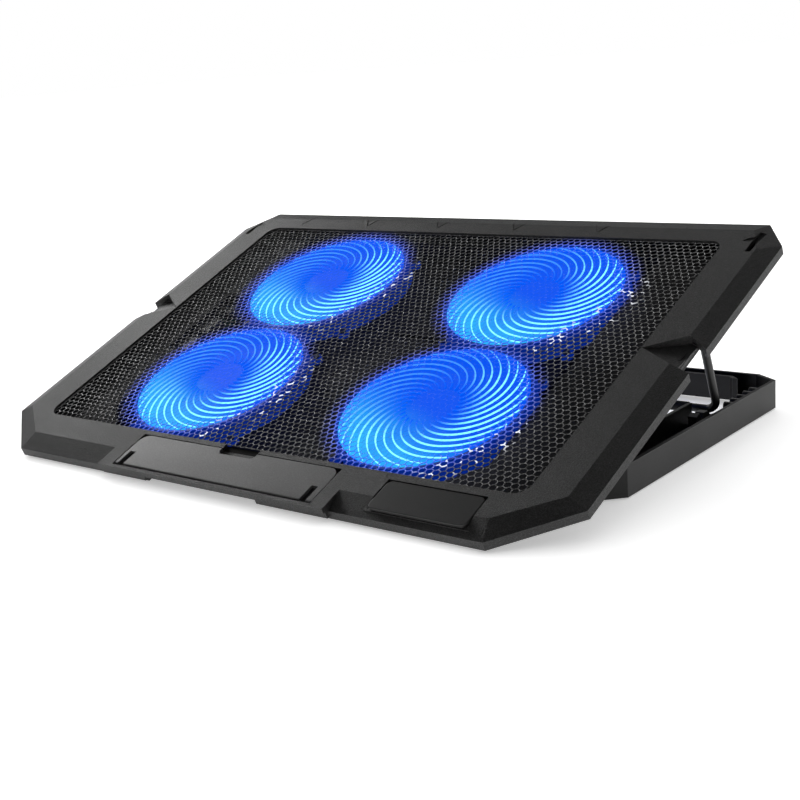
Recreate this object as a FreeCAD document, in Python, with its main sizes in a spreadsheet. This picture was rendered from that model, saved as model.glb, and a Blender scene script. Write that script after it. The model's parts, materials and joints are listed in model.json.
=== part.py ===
import FreeCAD, Part
import math
import os
import Sketcher

# Laptop cooling pad: a bevelled top cover with a pressed mesh panel over four fans, a shallow
# fan tray underneath, a fold-out laptop stop, and an open stand that the pad is hinged to.
# A wire bail under the pad props it up in the racks of the stand.
#
# Everything is drawn with the pad folded flat: x to the right, y from the front edge of the
# pad's lower outline to the rear, z up from the desk. The pieces of the pad are then turned
# about the hinge to the raised position, and the whole is moved so that the origin is under
# the middle of its bounding box, on the desk.

doc = FreeCAD.newDocument("cooling_pad")

# ---------------------------------------------------------------- driving dimensions
sheet = doc.addObject("Spreadsheet::Sheet", "sizes")
SIZES = [
    # outline of the pad
    ("pad_width", 390.0, "across the lower outline"),
    ("pad_depth", 270.0, "front to rear of the lower outline"),
    ("pad_top", 28.4, "height of the top face when folded"),
    ("rim_base", 20.2, "height of the underside of the rim"),
    ("bevel_drop", 3.6, "height of the sloped border"),
    ("bevel_side", 10.0, "width of the sloped border at the sides"),
    ("bevel_front", 11.6, "width of the sloped border at the front"),
    ("bevel_rear", 12.1, "width of the sloped border at the rear"),
    ("front_cut_across", 35.1, "front corner cut, along x, lower outline"),
    ("front_cut_back", 30.1, "front corner cut, along y, lower outline"),
    ("flat_cut_across", 27.6, "front corner cut, along x, top face"),
    ("flat_cut_back", 21.4, "front corner cut, along y, top face"),
    ("rear_cut_across", 15.0, "rear corner cut, along x, lower outline"),
    ("rear_cut_back", 21.5, "rear corner cut, along y, lower outline"),
    ("flat_rear_across", 8.5, "rear corner cut, along x, top face"),
    ("flat_rear_back", 18.7, "rear corner cut, along y, top face"),
    ("wall", 2.0, "wall of the mouldings"),
    # mesh panel
    ("mesh_width", 330.0, "opening for the mesh panel"),
    ("mesh_depth", 217.0, "opening for the mesh panel"),
    ("mesh_front", 28.8, "front edge of the opening"),
    ("mesh_corner", 8.0, "corner radius of the opening"),
    ("mesh_gap", 0.7, "gap round the pressed field of the panel"),
    ("mesh_recess", 0.9, "panel below the top face"),
    ("mesh_sheet", 1.0, "thickness of the sheet"),
    ("mesh_border", 3.2, "flat border of the panel under the cover"),
    # laptop stop and its seat
    ("tongue_left", -87.0, "left end of the front tongue"),
    ("tongue_right", 73.0, "right end of the front tongue"),
    ("tongue_reach", 3.0, "tongue in front of the lower outline"),
    ("tongue_floor", 1.0, "floor under the stop"),
    ("stop_left", -77.0, "left end of the seat of the stop"),
    ("stop_right", 64.0, "right end of the seat of the stop"),
    ("stop_rear", 25.6, "rear edge of the seat of the stop"),
    ("stop_lip", 2.2, "lip in front of the stop"),
    ("stop_gap", 0.45, "gap round the stop"),
    ("stop_sheet", 1.7, "thickness of the stop"),
    ("stop_corner", 6.0, "rear corner radius of the stop"),
    ("stop_axis_back", 1.1, "hinge of the stop behind the outline"),
    ("slot_wide", 4.0, "slots at the front of the stop"),
    ("slot_long", 11.0, "slots at the front of the stop"),
    ("notch_left", -17.0, "finger notch of the stop"),
    ("notch_right", 8.0, "finger notch of the stop"),
    ("notch_deep", 4.0, "finger notch of the stop"),
    # name plate
    ("plate_left", 94.0, "left edge of the plate"),
    ("plate_right", 149.0, "right edge of the plate"),
    ("plate_front", 5.2, "front edge of the plate"),
    ("plate_rear", 23.8, "rear edge of the plate"),
    ("plate_sheet", 1.9, "thickness of the plate"),
    # side notches
    ("flange_inset", 2.2, "from the lower outline in to the flange of the bottom cover"),
    ("vee_apex", 144.3, "side notch: y of its point"),
    ("vee_rear", 157.5, "side notch: y of its rear edge on the top face"),
    ("vee_front", 133.4, "side notch: y of its front edge on the top face"),
    ("vee_start", 0.8, "side notch: depth at its point"),
    ("vee_drop", 3.2, "side notch: fall of its floor from the point outward"),
    ("vee_lean", 6.8, "side notch: degrees its floor leans down to the rear"),
    ("vee_inner", 6.4, "side notch: depth of the gap through the rim"),
    # fan tray
    ("tray_half", 133.0, "half width of the fan tray"),
    ("tray_front", 28.0, "front of the fan tray"),
    ("tray_rear", 246.0, "rear of the fan tray"),
    ("tray_base", 10.5, "underside of the fan tray"),
    ("tray_floor", 1.5, "floor of the fan tray"),
    ("tray_cut", 22.0, "front corner cut of the fan tray"),
    ("tray_rear_cut", 8.0, "rear corner cut of the fan tray"),
    ("port_out", 13.0, "socket housing beside the tray"),
    ("port_front", 108.0, "front of the socket housing"),
    ("port_rear", 172.0, "rear of the socket housing"),
    # fans
    ("fan_across", 76.0, "fan centre from the middle"),
    ("fan_first", 86.5, "y of the front fans"),
    ("fan_pitch", 105.0, "front fan to rear fan"),
    ("fan_outer", 52.2, "radius of the fan frame"),
    ("fan_inner", 50.8, "bore of the fan frame"),
    ("fan_tall", 12.2, "height of the fan frame"),
    ("fan_floor", 1.2, "thickness of the spider"),
    ("ear_reach", 60.0, "screw ear from the fan centre"),
    ("ear_round", 3.6, "radius of a screw ear"),
    ("rotor_round", 49.6, "radius over the blade tips"),
    ("hub_round", 19.0, "radius of the rotor hub"),
    ("hub_wall", 1.5, "wall of the rotor hub"),
    ("rotor_base", 15.0, "underside of the blades"),
    ("rotor_top", 23.4, "top of the hub"),
    ("blade_sheet", 1.3, "thickness of a blade"),
    ("blade_count", 9.0, "blades on a rotor"),
    ("shaft_round", 1.5, "radius of the rotor shaft"),
    ("coil_round", 15.5, "radius of the motor"),
    ("coil_tall", 6.0, "height of the motor"),
    ("shaft_gap", 0.06, "clearance of shafts and pins"),
    ("led_inner", 45.0, "light ring, inner radius"),
    ("led_outer", 49.0, "light ring, outer radius"),
    ("led_tall", 0.9, "light ring, height"),
    # stand
    ("stand_half", 180.0, "half width of the stand"),
    ("stand_shoulder", 86.5, "y where the side walls turn in"),
    ("stand_side_rear", 255.5, "y where the side walls end"),
    ("stand_rear", 264.6, "rear wall of the stand"),
    ("stand_rear_half", 166.5, "half width of the rear wall"),
    ("stand_front", 43.0, "front of the stand"),
    ("stand_front_half", 150.0, "half width of the front of the stand"),
    ("stand_base", 1.0, "underside of the stand walls"),
    ("stand_top", 17.0, "top of the stand walls"),
    ("stand_floor", 2.4, "underside of the stand floor"),
    ("rail_half", 156.0, "inner face of the side rails"),
    ("rail_top", 16.3, "top of the side rails"),
    ("rail_rear", 197.0, "rear end of the side rails"),
    ("rack_bay", 162.0, "inner edge of the floor beside the racks"),
    ("bar_rear", 54.0, "rear edge of the front bar"),
    ("bar_top", 4.5, "top of the front bar"),
    # hinge between the pad and the stand
    ("hinge_back", 48.6, "y of the hinge"),
    ("hinge_height", 7.2, "height of the hinge"),
    ("hinge_round", 3.6, "radius of the hinge eyes"),
    ("hinge_pin", 1.8, "radius of the hinge pins"),
    ("lug_inner", 137.0, "inner lug, inner face"),
    ("lug_sheet", 2.5, "thickness of the inner lug"),
    ("ear_gap", 0.4, "side clearance of the hinge ear"),
    ("tilt", 21.4, "pad angle when raised, degrees"),
    # bail
    ("bail_wire", 2.25, "radius of the bail wire"),
    ("bail_half", 170.0, "half width of the bail"),
    ("bail_back", 194.0, "y of the bail pivot"),
    ("bail_pivot", 12.0, "height of the bail pivot"),
    ("bail_long", 56.5, "pivot to cross wire"),
    ("bail_bend", 7.0, "bend radius of the wire"),
    ("bail_swing", 93.0, "turn of the bail from raised to folded, degrees"),
    ("clip_inner", 172.7, "inner face of the bearings of the bail"),
    ("clip_outer", 176.9, "outer face of the bearings of the bail"),
    ("bail_stub", 6.8, "length of a pivot end"),
    # rack
    ("rack_front", 184.0, "front of the racks"),
    ("rack_rear", 245.0, "rear of the racks"),
    ("rack_split", 167.2, "tall teeth of the racks end beside the legs of the bail"),
    ("rack_outer", 177.6, "outer face of the racks"),
    ("comb_inner", 172.5, "inner face of the comb"),
]
for row, (alias, value, note) in enumerate(SIZES, start=1):
    sheet.set(f"A{row}", str(value))
    sheet.setAlias(f"A{row}", alias)
    sheet.set(f"B{row}", note)
doc.recompute()

ALIASES = sorted((alias for alias, value, note in SIZES), key=len, reverse=True)
pieces = []


def number(expression):
    """The value of an expression in the sheet's aliases."""
    return float(sheet.evalExpression(expression))


def bound(expression):
    """The expression as another object writes it, with each alias read from the sheet."""
    words = []
    for word in expression.replace("(", " ( ").replace(")", " ) ").split():
        sign = "-" if word.startswith("-") and word[1:] in ALIASES else ""
        name = word[len(sign):]
        words.append(f"{sign}sizes.{name}" if name in ALIASES else word)
    return " ".join(words)


# ---------------------------------------------------------------- placements
theta = number("tilt")
lean = math.radians(theta)
hinge_y = number("hinge_back")
hinge_z = number("hinge_height")


def raised(x, y, z):
    """Where a point of the folded pad lies once the pad is raised, before centring."""
    across, rise = y - hinge_y, z - hinge_z
    return FreeCAD.Vector(x, hinge_y + across * math.cos(lean) - rise * math.sin(lean),
                          hinge_z + across * math.sin(lean) + rise * math.cos(lean))


front_reach = raised(0, -number("tongue_reach"), number("pad_top")).y
centre_y = (front_reach + number("stand_rear")) / 2
tilt_turn = FreeCAD.Rotation(FreeCAD.Vector(1, 0, 0), theta)
hinge_point = FreeCAD.Vector(0, hinge_y, hinge_z)
ON_STAND = FreeCAD.Placement(FreeCAD.Vector(0, -centre_y, 0), FreeCAD.Rotation())
ON_PAD = FreeCAD.Placement(hinge_point - tilt_turn.multVec(hinge_point)
                           - FreeCAD.Vector(0, centre_y, 0), tilt_turn)


# ---------------------------------------------------------------- modelling helpers
def origin_plane(body, role):
    """One of the body's own origin planes."""
    return next(item for item in body.Origin.OriginFeatures if item.Role == role)


def new_body(label, placement):
    """An empty body, which becomes the node called label."""
    body = doc.addObject("PartDesign::Body", label)
    body.Label = label
    body.Placement = placement
    pieces.append(body)
    return body


def new_sketch(body, plane, height):
    """An empty sketch, parallel to an origin plane of the body and height above it."""
    sketch = body.newObject("Sketcher::SketchObject", body.Name + "_sketch")
    sketch.AttachmentSupport = (origin_plane(body, plane), [""])
    sketch.MapMode = "FlatFace"
    sketch.setExpression("AttachmentOffset.Base.z", bound(height))
    return sketch


def pin(sketch, kind, element, point, expression):
    """A distance from the origin of the sketch, held by an expression."""
    place = sketch.addConstraint(
        Sketcher.Constraint(kind, -1, 1, element, point, number(expression)))
    sketch.setExpression(f"Constraints[{place}]", bound(expression))


def polygon(body, corners, height="0", plane="XY_Plane"):
    """A closed outline whose corners are pairs of expressions."""
    sketch = new_sketch(body, plane, height)
    points = [FreeCAD.Vector(number(across), number(along), 0) for across, along in corners]
    for start, end in zip(points, points[1:] + points[:1]):
        sketch.addGeometry(Part.LineSegment(start, end))
    last = len(points) - 1
    for index, (across, along) in enumerate(corners):
        before = index - 1 if index else last
        sketch.addConstraint(Sketcher.Constraint("Coincident", before, 2, index, 1))
        pin(sketch, "DistanceX", index, 1, across)
        pin(sketch, "DistanceY", index, 1, along)
    return sketch


def rectangle(body, left, right, front, rear, height="0", plane="XY_Plane"):
    """A rectangular outline between four expressions."""
    return polygon(body, [(left, front), (right, front), (right, rear), (left, rear)], height, plane)


def circles(body, rounds, height="0", plane="XY_Plane"):
    """Circles given as (across, along, radius) expressions."""
    sketch = new_sketch(body, plane, height)
    for index, (across, along, radius) in enumerate(rounds):
        centre = FreeCAD.Vector(number(across), number(along), 0)
        sketch.addGeometry(Part.Circle(centre, FreeCAD.Vector(0, 0, 1), number(radius)))
        pin(sketch, "DistanceX", index, 3, across)
        pin(sketch, "DistanceY", index, 3, along)
        place = sketch.addConstraint(Sketcher.Constraint("Radius", index, number(radius)))
        sketch.setExpression(f"Constraints[{place}]", bound(radius))
    return sketch


def extrude(body, sketch, length, kind="PartDesign::Pad", back=False):
    """A pad or pocket of a sketch. A pad rises along the sketch normal and a pocket falls."""
    feature = body.newObject(kind, body.Name + "_step")
    feature.Profile = sketch
    feature.setExpression("Length", bound(length))
    feature.Reversed = back
    feature.Refine = False
    doc.recompute()
    return feature


def raise_up(body, sketch, length):
    """Adds material along the sketch normal."""
    return extrude(body, sketch, length)


def cut_up(body, sketch, length):
    """Removes material along the sketch normal, and checks that some was removed."""
    before = body.Shape.Volume
    feature = extrude(body, sketch, length, "PartDesign::Pocket", back=True)
    if body.Shape.Volume > before - 0.01:
        raise RuntimeError(f"a cut in {body.Label} removes nothing")
    return feature


def round_edges(body, radius, wanted):
    """Rounds the edges of the body for which wanted(edge) is true."""
    tip = body.Tip
    names = [f"Edge{index}" for index, edge in enumerate(tip.Shape.Edges, start=1) if wanted(edge)]
    feature = body.newObject("PartDesign::Fillet", body.Name + "_round")
    feature.Base = (tip, names)
    feature.setExpression("Radius", bound(radius))
    doc.recompute()
    return feature


def upright(edge):
    """True for a straight edge parallel to z."""
    low, high = edge.Vertexes[0].Point, edge.Vertexes[-1].Point
    return abs(high.x - low.x) + abs(high.y - low.y) < 1e-6 and abs(high.z - low.z) > 1e-6


def mirrored(corners):
    """A right half outline, front to rear, closed with its mirror image."""
    return corners + [("-(" + across + ")", along) for across, along in reversed(corners)]


def plain_solid(label, shape, placement):
    """A node whose shape is worked out directly."""
    piece = doc.addObject("Part::Feature", label)
    piece.Label = label
    piece.Shape = shape
    piece.Placement = placement
    pieces.append(piece)
    return piece


def box(left, right, front, rear, low, high):
    """A box between six numbers."""
    return Part.makeBox(right - left, rear - front, high - low, FreeCAD.Vector(left, front, low))


def rod(radius, length, start, direction):
    """A cylinder from a start point."""
    return Part.makeCylinder(radius, length, FreeCAD.Vector(*start), FreeCAD.Vector(*direction))


# ---------------------------------------------------------------- top cover
def lower_outline(inset):
    """The lower outline of the pad, moved in by an expression."""
    return mirrored([
        (f"pad_width / 2 - front_cut_across - {inset} / 2", f"{inset}"),
        (f"pad_width / 2 - {inset}", f"front_cut_back + {inset} / 2"),
        (f"pad_width / 2 - {inset}", f"pad_depth - rear_cut_back - {inset} / 2"),
        (f"pad_width / 2 - rear_cut_across - {inset} / 2", f"pad_depth - {inset}"),
    ])


def flat_outline(inset):
    """The outline of the top face, moved in by an expression."""
    return mirrored([
        (f"pad_width / 2 - bevel_side - flat_cut_across - {inset} / 2", f"bevel_front + {inset}"),
        (f"pad_width / 2 - bevel_side - {inset}", f"bevel_front + flat_cut_back + {inset} / 2"),
        (f"pad_width / 2 - bevel_side - {inset}",
         f"pad_depth - bevel_rear - flat_rear_back - {inset} / 2"),
        (f"pad_width / 2 - bevel_side - flat_rear_across - {inset} / 2",
         f"pad_depth - bevel_rear - {inset}"),
    ])


def loft(body, kind, lower, upper):
    """A straight-sided loft from one outline to another."""
    feature = body.newObject(kind, body.Name + "_slope")
    feature.Profile = lower
    feature.Sections = [upper]
    feature.Ruled = True
    doc.recompute()
    return feature


def side_notch(side):
    """The wedge cut from one side of the rim.

    Its floor falls outward and to the rear, so the rear wall is the taller one, and it is open
    through the rim outside.
    """
    apex_x = number("mesh_width / 2 + 0.5")
    flat_x = number("pad_width / 2 - bevel_side")
    gap_x = number("pad_width / 2 - vee_inner")
    outer_x = number("pad_width / 2 + 5")
    apex, rear, front = number("vee_apex"), number("vee_rear"), number("vee_front")
    top, drop = number("pad_top"), number("vee_drop")
    plan = [(apex_x, apex), (flat_x, front), (outer_x, front - 2.0), (outer_x, rear - 8.5), (flat_x, rear)]
    wedge = Part.Face(Part.makePolygon([FreeCAD.Vector(x, y, top - 12) for x, y in plan + plan[:1]]))
    wedge = wedge.extrude(FreeCAD.Vector(0, 0, 24))
    slope = math.degrees(math.atan2(drop, gap_x - apex_x))
    above = Part.makeBox(120, 400, 60, FreeCAD.Vector(0, -100, 0))
    above.rotate(FreeCAD.Vector(0, 0, 0), FreeCAD.Vector(0, 1, 0), slope)
    above.translate(FreeCAD.Vector(apex_x, 0, top - number("vee_start")))
    above.rotate(FreeCAD.Vector(0, apex, top), FreeCAD.Vector(1, 0, 0), -number("vee_lean"))
    through = box(gap_x, outer_x, front - 10, rear + 10, top - 12, top + 12)
    notch = wedge.common(above.fuse(through))
    return notch if side > 0 else notch.mirror(FreeCAD.Vector(0, 0, 0), FreeCAD.Vector(1, 0, 0))


def groove(points, width, depth):
    """A shallow groove along a zigzag line on the top face."""
    top = number("pad_top")
    cut = None
    for (x0, y0), (x1, y1) in zip(points, points[1:]):
        run = math.hypot(x1 - x0, y1 - y0)
        bar = Part.makeBox(run + width, width, depth + 1, FreeCAD.Vector(-width / 2, -width / 2, 0))
        bar.rotate(FreeCAD.Vector(0, 0, 0), FreeCAD.Vector(0, 0, 1),
                   math.degrees(math.atan2(y1 - y0, x1 - x0)))
        bar.translate(FreeCAD.Vector(x0, y0, top - depth))
        cut = bar if cut is None else cut.fuse(bar)
    return cut


def rear_trim():
    """The decoration of the rear border: a zigzag groove, and a slot and lens at each corner."""
    inner, outer = number("mesh_front + mesh_depth + 5.2"), number("pad_depth - 7.5")
    tooth, half, left_run, right_run = 56.7, 28.35, 23.1, 21.7
    points = []
    for index in range(-2, 3):
        middle = index * tooth
        points += [(middle - half, inner), (middle - left_run, outer),
                   (middle + right_run, outer), (middle + half, inner)]
    cuts = [groove(points, 0.9, 0.7)]
    lens_round, lens_deep, lens_floor = 9.5, 1.2, 27.6
    slot_x = number("pad_width / 2 - bevel_side - 3.5")
    slot_y = number("pad_depth - bevel_rear - flat_rear_back")
    for side in (-1, 1):
        cuts.append(box(side * slot_x - 1.6, side * slot_x + 1.6, slot_y - 3, number("pad_depth - 12"),
                        number("pad_top - 2.6"), number("pad_top + 1")))
        far = FreeCAD.Vector(side * (slot_x - 6), slot_y + 17, lens_floor)
        near = FreeCAD.Vector(side * (slot_x + 1), slot_y + 3, lens_floor)
        lens = Part.makeCylinder(lens_round, lens_deep, far)
        cuts.append(lens.common(Part.makeCylinder(lens_round, lens_deep, near)))
    return cuts


def make_top_cover():
    """The moulded cover: sloped border, mesh opening, seat of the stop, plate seat, notches."""
    body = doc.addObject("PartDesign::Body", "cover_blank")
    raise_up(body, polygon(body, lower_outline("0"), "rim_base"),
                    "pad_top - bevel_drop - rim_base")
    loft(body, "PartDesign::AdditiveLoft",
         polygon(body, lower_outline("0"), "pad_top - bevel_drop"),
         polygon(body, flat_outline("0"), "pad_top"))
    cut_up(body, polygon(body, lower_outline("wall"), "rim_base"),
           "pad_top - bevel_drop - rim_base - wall")
    loft(body, "PartDesign::SubtractiveLoft",
         polygon(body, lower_outline("wall"), "pad_top - bevel_drop - wall"),
         polygon(body, flat_outline("wall"), "pad_top - wall"))
    # solid ground under the side notches
    for side in (-1, 1):
        left, right = sorted((side * number("mesh_width / 2 + 4"), side * number("pad_width / 2 - 1.5")))
        raise_up(body, rectangle(body, f"{left}", f"{right}", "vee_front - 4", "vee_rear + 3",
                                 "rim_base + wall + 0.1"), "1.6")
        left, right = sorted((side * number("mesh_width / 2 + 4"), side * number("pad_width / 2 - 9")))
        raise_up(body, rectangle(body, f"{left}", f"{right}", "vee_front - 4", "vee_rear + 3",
                                 "rim_base + wall + 1.6"), "pad_top - rim_base - 2 * wall - 1.5")
    # tongue and seat of the stop
    raise_up(body, rectangle(body, "tongue_left", "tongue_right", "-tongue_reach", "mesh_front - 2.4",
                             "pad_top - wall - tongue_floor"), "wall + tongue_floor")
    for left, right in (("tongue_left", "tongue_left + 34"), ("tongue_right - 46", "tongue_right")):
        raise_up(body, rectangle(body, left, right, "-tongue_reach + 1.2", "wall",
                                 "rim_base + 1.5"), "pad_top - rim_base - 1.5 - wall - tongue_floor + 0.01")
    cut_up(body, rectangle(body, "tongue_left + 34", "tongue_right - 46", "-5", "bevel_front - 3",
                           "rim_base - 1"), "pad_top - rim_base + 1 - wall - tongue_floor")
    raise_up(body, rectangle(body, "tongue_left + 32", "tongue_right - 44", "bevel_front - 3",
                             "bevel_front - 1", "rim_base + wall"),
             "pad_top - rim_base - 2 * wall - tongue_floor + 0.01")
    cut_up(body, rectangle(body, "stop_left", "stop_right", "-tongue_reach + stop_lip", "stop_rear",
                           "pad_top - wall"), "wall + 1")
    # floor of the plate seat, and the seat
    raise_up(body, rectangle(body, "plate_left - 2", "plate_right + 2", "plate_front - 1.6",
                             "plate_rear + 2", "pad_top - wall - 1.4"), "1.41")
    cut_up(body, rectangle(body, "plate_left - 0.5", "plate_right + 0.5", "plate_front - 1.7",
                           "plate_rear + 0.5", "pad_top - wall"), "wall + 1")
    # opening for the mesh panel
    cut_up(body, rectangle(body, "-mesh_width / 2", "mesh_width / 2", "mesh_front",
                           "mesh_front + mesh_depth", "pad_top - wall - 3"), "wall + 4")
    corner_x = number("mesh_width / 2")
    front, rear = number("mesh_front"), number("mesh_front + mesh_depth")
    round_edges(body, "mesh_corner", lambda edge: upright(edge)
                and abs(abs(edge.Vertexes[0].X) - corner_x) < 0.01
                and min(abs(edge.Vertexes[0].Y - front), abs(edge.Vertexes[0].Y - rear)) < 0.01)
    cut_up(body, rectangle(body, "notch_left", "notch_right", "stop_rear - 0.5", "mesh_front + 1",
                           "pad_top - wall - 3"), "wall + 4")
    # blind holes of the case screws, in bosses
    raise_up(body, circles(body, [(f"{x}", f"{y}", "3.4") for x, y in case_screws], "rim_base + wall"),
             "4.2")
    cut_up(body, circles(body, [(f"{x}", f"{y}", "1.15") for x, y in case_screws],
                         "rim_base + wall - 1"), "4")
    shape = body.Shape
    for cutter in [side_notch(1), side_notch(-1)] + rear_trim():
        shape = shape.cut(cutter)
    pin_y, pin_z = number("stop_axis_back"), stop_axis_z
    for x in (number("stop_left") - 3, number("stop_right") - 0.5):
        shape = shape.cut(rod(stop_pin, 3.5, (x, pin_y, pin_z), (1, 0, 0)))
    plain_solid("top_cover", shape, ON_PAD)


# ---------------------------------------------------------------- places shared by pieces
case_screws = [(-178, 50), (178, 50), (-178, 228), (178, 228), (-120, 262), (120, 262), (0, 262),
               (-150, 18), (160, 22)]
stop_axis_z = number("pad_top - stop_sheet / 2 - 0.05")
stop_pin = 0.5
fan_places = [(f"{end}_{side}", sign * number("fan_across"), number(f"fan_first + {row} * fan_pitch"))
              for row, end in enumerate(("front", "rear"))
              for sign, side in ((-1, "left"), (1, "right"))]
fan_base = number("tray_base + tray_floor")
ear_angles = [45, 135, 225, 315]


# ---------------------------------------------------------------- mesh panel
def make_mesh_panel():
    """A pressed sheet: a raised field in the opening, and a flat border under the cover."""
    body = new_body("mesh_panel", ON_PAD)
    half = "mesh_width / 2"
    border = "mesh_border"
    front, rear = "mesh_front", "mesh_front + mesh_depth"
    raise_up(body, rectangle(body, f"-{half} - {border}", f"{half} + {border}", f"{front} - {border} + 1",
                             f"{rear} + {border}", "pad_top - wall - mesh_sheet"), "mesh_sheet")
    field = [f"-{half} + mesh_gap", f"{half} - mesh_gap", f"{front} + mesh_gap", f"{rear} - mesh_gap"]
    raise_up(body, rectangle(body, *field, "pad_top - wall - 0.01"), "wall - mesh_recess + 0.01")
    corner_x = number("mesh_width / 2 - mesh_gap")
    round_edges(body, "mesh_corner - mesh_gap", lambda edge: upright(edge)
                and abs(abs(edge.Vertexes[0].X) - corner_x) < 0.01)
    inset = [field[0] + " + mesh_sheet + 3", field[1] + " - mesh_sheet - 3",
             field[2] + " + mesh_sheet", field[3] + " - mesh_sheet"]
    cut_up(body, rectangle(body, *inset, "pad_top - wall - mesh_sheet - 1"),
           "wall + 1 - mesh_recess")


# ---------------------------------------------------------------- bottom cover with the fan tray
def tray_outline(inset):
    """The fan tray, moved in by an expression."""
    return mirrored([
        (f"tray_half - tray_cut - {inset} / 2", f"tray_front + {inset}"),
        (f"tray_half - {inset}", f"tray_front + tray_cut + {inset} / 2"),
        (f"tray_half - {inset}", f"tray_rear - tray_rear_cut - {inset} / 2"),
        (f"tray_half - tray_rear_cut - {inset} / 2", f"tray_rear - {inset}"),
    ])


def make_bottom_cover():
    """The lower moulding: a flat flange inside the rim, the fan tray, guards and hinge ears."""
    body = new_body("bottom_cover", ON_PAD)
    raise_up(body, polygon(body, lower_outline("flange_inset"), "rim_base"), "wall")
    raise_up(body, polygon(body, tray_outline("0"), "tray_base"), "rim_base + wall - tray_base")
    raise_up(body, rectangle(body, "-tray_half - port_out", "-tray_half + wall", "port_front", "port_rear",
                             "tray_base"), "rim_base + wall - tray_base")
    cut_up(body, polygon(body, tray_outline("wall"), "tray_base + tray_floor"),
           "rim_base + wall + 1 - tray_base - tray_floor")
    cut_up(body, rectangle(body, "-tray_half - port_out + wall", "-tray_half + wall + 1",
                           "port_front + wall", "port_rear - wall", "tray_base + tray_floor"),
           "rim_base + wall + 1 - tray_base - tray_floor")
    cut_up(body, rectangle(body, "tongue_left + 34", "tongue_right - 46", "0", "bevel_front - 3",
                           "rim_base - 1"), "wall + 2")
    for side in (-1, 1):
        left, right = sorted((side * number("pad_width / 2 - vee_inner - 0.5"),
                              side * number("pad_width / 2")))
        cut_up(body, rectangle(body, f"{left}", f"{right}", "vee_front - 4", "vee_rear + 3",
                               "rim_base - 1"), "wall + 2")
    # a guard under each fan: rings joined by spokes
    rings = ("46.5", "38.5", "36.5", "28.5", "26.5", "20.5")
    cut_up(body, circles(body, [(f"{x}", f"{y}", radius) for name, x, y in fan_places
                                for radius in rings], "tray_base - 1"), "tray_floor + 2")
    for angle in (0, 60, 120):
        for name, x, y in fan_places:
            raise_up(body, spoke_outline(body, x, y, angle), "tray_floor")
    # hinge ears, and windows of the sockets and the switch
    for side in (-1, 1):
        inner, outer = sorted((side * (number("lug_inner + lug_sheet + ear_gap")),
                               side * (number("stand_front_half - wall - ear_gap"))))
        raise_up(body, rectangle(body, f"{inner}", f"{outer}", "hinge_back - hinge_round",
                                 "hinge_back + hinge_round", "hinge_height"),
                 "rim_base - hinge_height + 0.01")
        raise_up(body, circles(body, [("hinge_back", "hinge_height", "hinge_round")],
                               f"{inner}", "YZ_Plane"), f"{outer - inner}")
        cut_up(body, circles(body, [("hinge_back", "hinge_height", "hinge_pin + shaft_gap")],
                             f"{inner - 1}", "YZ_Plane"), f"{outer - inner + 2}")
    for y in socket_places:
        cut_up(body, rectangle(body, f"{y - 7.2}", f"{y + 7.2}", f"{socket_z - 3.4}", f"{socket_z + 3.4}",
                               "-tray_half - port_out - 1", "YZ_Plane"), "wall + 2")
    cut_up(body, rectangle(body, f"{button_y - 4.2}", f"{button_y + 4.2}", f"{socket_z - 2.4}",
                           f"{socket_z + 2.4}", "-tray_half - port_out - 1", "YZ_Plane"), "wall + 2")
    cut_up(body, circles(body, [(f"{x}", f"{y}", "1.4") for x, y in case_screws], "rim_base - 1"),
           "wall + 2")
    for side in (-1, 1):
        inner, outer = sorted((side * number("clip_inner"), side * number("clip_outer")))
        raise_up(body, rectangle(body, f"{inner}", f"{outer}", "bail_back - 4.5", "bail_back + 4.5",
                                 "bail_pivot - 4.2"), "rim_base + 4.21 - bail_pivot")
        cut_up(body, circles(body, [("bail_back", "bail_pivot", "bail_wire + shaft_gap")],
                             f"{inner - 1}", "YZ_Plane"), f"{outer - inner + 2}")


def spoke_outline(body, x, y, angle):
    """A bar across a fan guard at an angle."""
    turn = math.radians(angle)
    along = FreeCAD.Vector(math.cos(turn), math.sin(turn), 0) * 47.5
    aside = FreeCAD.Vector(-math.sin(turn), math.cos(turn), 0) * 1.25
    ends = [along + aside, aside - along, -along - aside, along - aside]
    return polygon(body, [(f"{x + end.x:.4f}", f"{y + end.y:.4f}") for end in ends], "tray_base")


socket_places = (120.0, 141.0)
button_y = 160.0
socket_z = 16.4


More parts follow.
